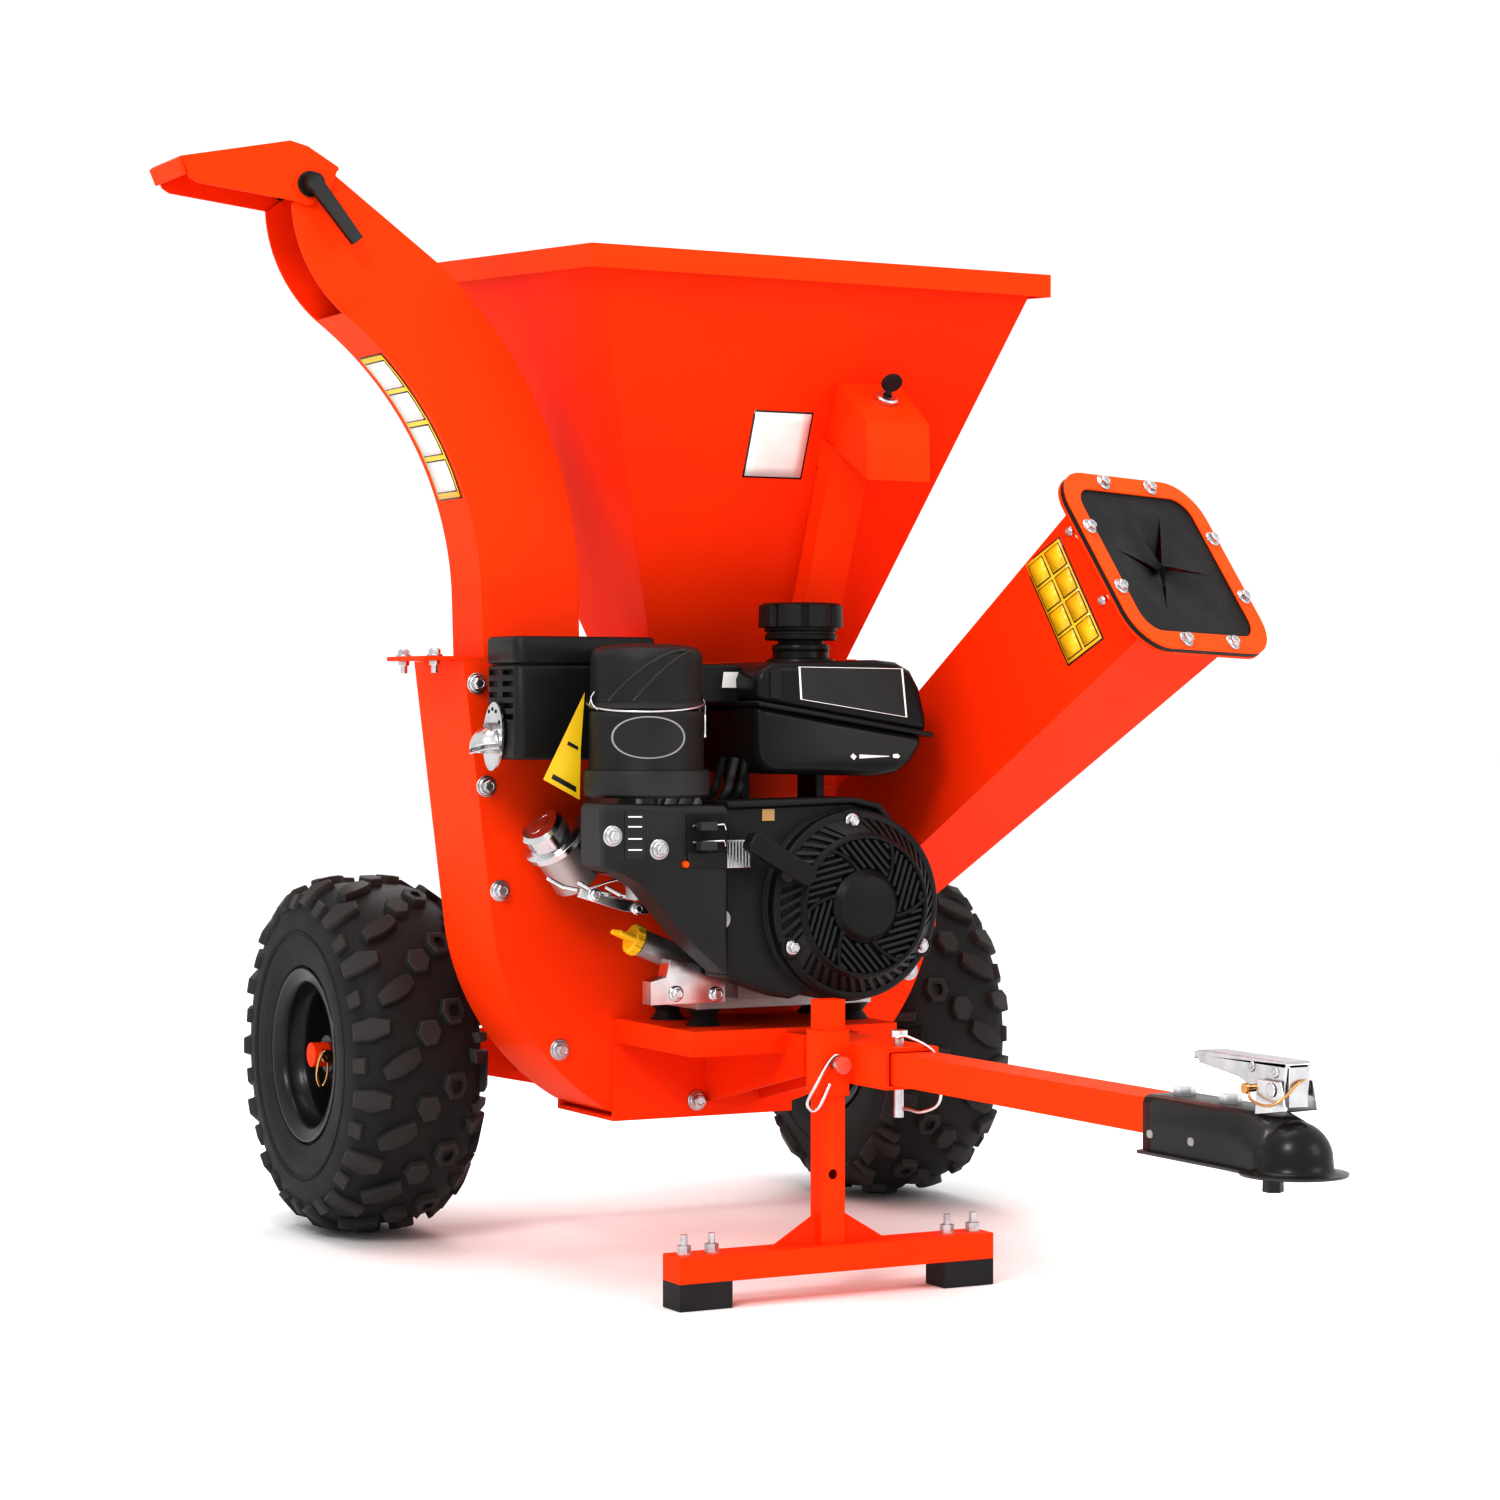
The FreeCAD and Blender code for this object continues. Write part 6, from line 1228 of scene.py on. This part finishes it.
def make_coupler():
    """The pressed coupler: a channel that runs into a dome, with a turned-out brim."""
    bm = bmesh.new()
    sections = []
    for x, half, top, arch in ((1047, 25, 231, 0), (1060, 25, 231, 0), (1120, 25, 231, 0),
            (1160, 25, 231, 0), (1180, 26, 230, 0.25), (1196, 28, 228.4, 0.6), (1212, 29.9, 226.4, 1)):
        flat = [(-half, 187.2), (-half, 205), (-half, top - 7), (-half + 2, top - 2.2), (-half + 7, top),
                (half - 7, top), (half - 2, top - 2.2), (half, top - 7), (half, 205), (half, 187.2)]
        round_part = [(-half, 187.2)]
        for k in range(8):
            angle = math.pi * (1 - k / 7)
            round_part.append((half * math.cos(angle), 196 + (top - 196) * math.sin(angle)))
        round_part.append((half, 187.2))
        arc = [(y0 + (y1 - y0) * arch, z0 + (z1 - z0) * arch)
                for (y0, z0), (y1, z1) in zip(flat, round_part)]
        brim = half + 5.6
        outline = [(-brim, 184.2), (-brim, 186.6)] + arc + [(brim, 186.6), (brim, 184.2)]
        sections.append([bm.verts.new(at(x, y, z)) for y, z in outline])
    add_skin(bm, sections, around=False)
    profile = [(0.0415, 0.0002), (0.0418, 0.0022), (0.0330, 0.0032), (0.0303, 0.0060), (0.0299, 0.0120)]
    for k in range(1, 10):
        polar = math.pi / 2 * k / 9
        profile.append((0.0299 * math.cos(polar), 0.0120 + 0.0298 * math.sin(polar)))
    add_lathe(bm, profile, facing(TOP, 1212, 0, 184), 72)
    shell = piece("coupler_pressing", bm, "chassis", BLACK_PAINT, angle=45, slot="black_paint")
    thick = shell.modifiers.new("thick", "SOLIDIFY")
    thick.thickness = 0.0022
    thick.offset = -1
    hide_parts("coupler")


def make_coupler_details():
    """The channel's slots, the clamp's nut, and the cheeks that carry the latch."""
    bm = bmesh.new()
    for sign in (-1, 1):
        for x in (1057, 1113):
            matrix = basis(at(x, 25.1 * sign, 200), (0, sign, 0), up=(0, 0, 1))
            add_prism(bm, rounded(0.0085, 0.0065, 0.003, 4), matrix, -0.001, 0.0003)
    piece("coupler_slots", bm, "chassis", LABEL_GREY, angle=40)
    bm = bmesh.new()
    add_prism(bm, ring_points(0.0085, 6), facing(TOP, 1186, 0, 168), 0, 0.012, inset=0.0004)
    add_lathe(bm, [(0.0042, 0.010), (0.0042, 0.018)], facing(TOP, 1186, 0, 168), 20)
    piece("clamp_nut", bm, "chassis", BLACK_PAINT, bevel=0.0008, angle=30, slot="black_paint")
    bm = bmesh.new()
    for y in (-0.0165, 0.0141):
        add_prism(bm, [(1.184, 0.228), (1.1875, 0.256), (1.216, 0.256), (1.222, 0.234)],
                facing(RIGHT, 0, 0, 0), y, y + 0.0024)
    piece("latch_cheeks", bm, "chassis", ZINC, bevel=0.0008, angle=40, slot="zinc")


def make_keys():
    """The lock's bezel, and the key with its black head."""
    lock = NODES["switch_lock"]
    spots = [lock.matrix_world @ v.co for v in lock.data.vertices]
    middle = sum(spots, Vector((0, 0, 0))) / len(spots)
    key = [NODES["ignition_key"].matrix_world @ v.co for v in NODES["ignition_key"].data.vertices]
    way = sum(key, Vector((0, 0, 0))) / len(key) - middle
    axis = basis(middle, way, up=(0, 1, 0))
    heights = [(axis.inverted() @ p).z for p in spots]
    foot = min(heights)
    low = max(heights)
    high = max((axis.inverted() @ p).z for p in key)
    bm = bmesh.new()
    add_lathe(bm, [(0.0062, foot + 0.001), (0.0062, low - 0.0062), (0.0116, low - 0.0060),
            (0.0118, low - 0.0020), (0.0098, low - 0.0004), (0.0044, low - 0.0002), (0.0044, low - 0.008)],
            axis, 40)
    bezel = piece("lock_bezel", bm, "chassis", ZINC, angle=35, slot="zinc")
    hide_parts("switch_lock")
    bm = bmesh.new()
    add_prism(bm, rounded(0.0036, 0.0060, 0.001, 2), axis, low - 0.008, high - 0.018)
    turned = axis @ FRONT.to_4x4()
    bow = [(y * 0.0108, high - 0.0100 + z * 0.0098) for y, z in ring_points(1.0, 24)]
    add_prism(bm, bow, turned, -0.0018, 0.0018)
    grip = piece("key_head", bm, "ignition_key", PLASTIC, bevel=0.0006, angle=40, slot="black_plastic")
    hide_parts("ignition_key")


def plate_label(name, node, corners, look, rim, lift):
    """A flat label over four machine corners on a CAD face, drawn in from the corners by a rim in mm."""
    points = [at(*corner) for corner in corners]
    middle = sum(points, Vector((0, 0, 0))) / 4
    along = ((points[1] - points[0]) + (points[2] - points[3])) / 2
    down = ((points[3] - points[0]) + (points[2] - points[1])) / 2
    out = along.cross(down).normalized()
    if out.x - out.y < 0:
        out = -out
    x_way = along.normalized()
    place = Matrix((x_way, out.cross(x_way), out)).transposed().to_4x4()
    place.translation = middle
    decal(name, node, place, grid(along.length - rim / 500, down.length - rim / 500, 6, 6), look, lift)
    return place, along.length, down.length


def make_big_labels():
    """The blank white plate on the hopper's front and the yellow strip of four blanks on the spout."""
    hopper = [(397, -27, 825), (397, 38, 825), (372, 35, 762), (372, -30, 762)]
    plate_label("hopper_plate_border", "hopper", hopper, LABEL_BLACK, 0, 0.0004)
    plate_label("hopper_plate", "hopper", hopper, LABEL_WHITE, 1.6, 0.0008)
    spout = [(241, -372, 872), (298, -372, 872), (286, -288, 739), (232, -288, 739)]
    plate_label("spout_strip_border", "discharge_chute", spout, LABEL_BLACK, 0, 0.0004)
    place, wide, high = plate_label("spout_strip", "discharge_chute", spout, LABEL_YELLOW, 1.6, 0.0008)
    for k in range(4):
        shift = (0, (k - 1.5) * high * 0.235)
        decal("spout_panel_%d" % k, "discharge_chute", place, grid(wide * 0.84, high * 0.205, 3, 3, shift),
                LABEL_BLACK, 0.0012)
        decal("spout_inset_%d" % k, "discharge_chute", place, grid(wide * 0.80, high * 0.190, 3, 3, shift),
                LABEL_WHITE, 0.0016)


mouth_frame = feed_matrix()
make_mouth_ring(mouth_frame)
make_curtain(mouth_frame)
make_mouth_bolts(mouth_frame)
make_feed_label()
make_recoil()
make_handle()
make_tank()
make_tank_marks()
make_fuel_cap()
make_air_cleaner()
make_cleaner_badge()
make_cleaner_wires()
make_hang_tag()
make_intake_cover()
make_blower_shell()
make_fuel_hoses()
make_cover_hardware()
make_cover_marks()
make_coupler()
make_coupler_details()
make_keys()
make_big_labels()
make_guard()
make_exhaust_deflector()
make_rocker_cover()
make_governor()
make_oil_cap()
make_housing_bolts()
make_pins()
make_hitch_wires()
make_latch()

# ---- camera, light and floor -----------------------------------------------------------------

def set_the_stage():
    """Camera at the photograph's angle, a pale floor and soft studio light."""
    scene = bpy.context.scene
    lens = bpy.data.cameras.new("camera")
    lens.lens = 83.545
    lens.sensor_width = 36
    lens.clip_end = 200
    camera = bpy.data.objects.new("camera", lens)
    tilt, roll, turn = (math.radians(degrees) for degrees in (89.3227, -0.0590, 61.8715))
    camera.matrix_world = (Matrix.Translation((2.8123, -1.5310, 0.53815))
            @ Euler((tilt, roll, turn)).to_matrix().to_4x4())
    scene.collection.objects.link(camera)
    scene.camera = camera
    world = bpy.data.worlds.new("studio")
    world.use_nodes = True
    shade = world.node_tree.nodes["Background"]
    shade.inputs["Color"].default_value = (1.0, 1.0, 1.0, 1)
    shade.inputs["Strength"].default_value = 1.06
    scene.world = world
    scene.view_settings.view_transform = "Standard"
    scene.view_settings.look = "None"
    scene.view_settings.gamma = 0.72
    bm = bmesh.new()
    add_lathe(bm, [(0, 0), (8, 0), (40, 0)], Matrix.Translation((0, 0, -0.0005)), 64)
    mesh = bpy.data.meshes.new("floor")
    bm.to_mesh(mesh)
    bm.free()
    mesh.materials.append(material("pale_floor", (0.97, 0.97, 0.97), (0.96, 0.96, 0.96), 0.8, 0.04,
            specular=0.1, mottle=2, grain=60, bump=0.02))
    floor = bpy.data.objects.new("floor", mesh)
    scene.collection.objects.link(floor)
    for name, place, width, power in (("key", (2.2, -2.6, 3.0), 1.2, 70),
            ("fill", (3.2, 2.0, 1.8), 1.6, 22), ("top", (-0.2, -0.2, 3.4), 1.8, 35),
            ("rim", (-3.0, 1.2, 2.4), 1.2, 25)):
        lamp = bpy.data.lights.new(name, "AREA")
        lamp.size = width
        lamp.energy = power
        light = bpy.data.objects.new(name, lamp)
        light.matrix_world = basis(Vector(place), Vector(place) - Vector((0, 0, 0.5)))
        scene.collection.objects.link(light)


set_the_stage()
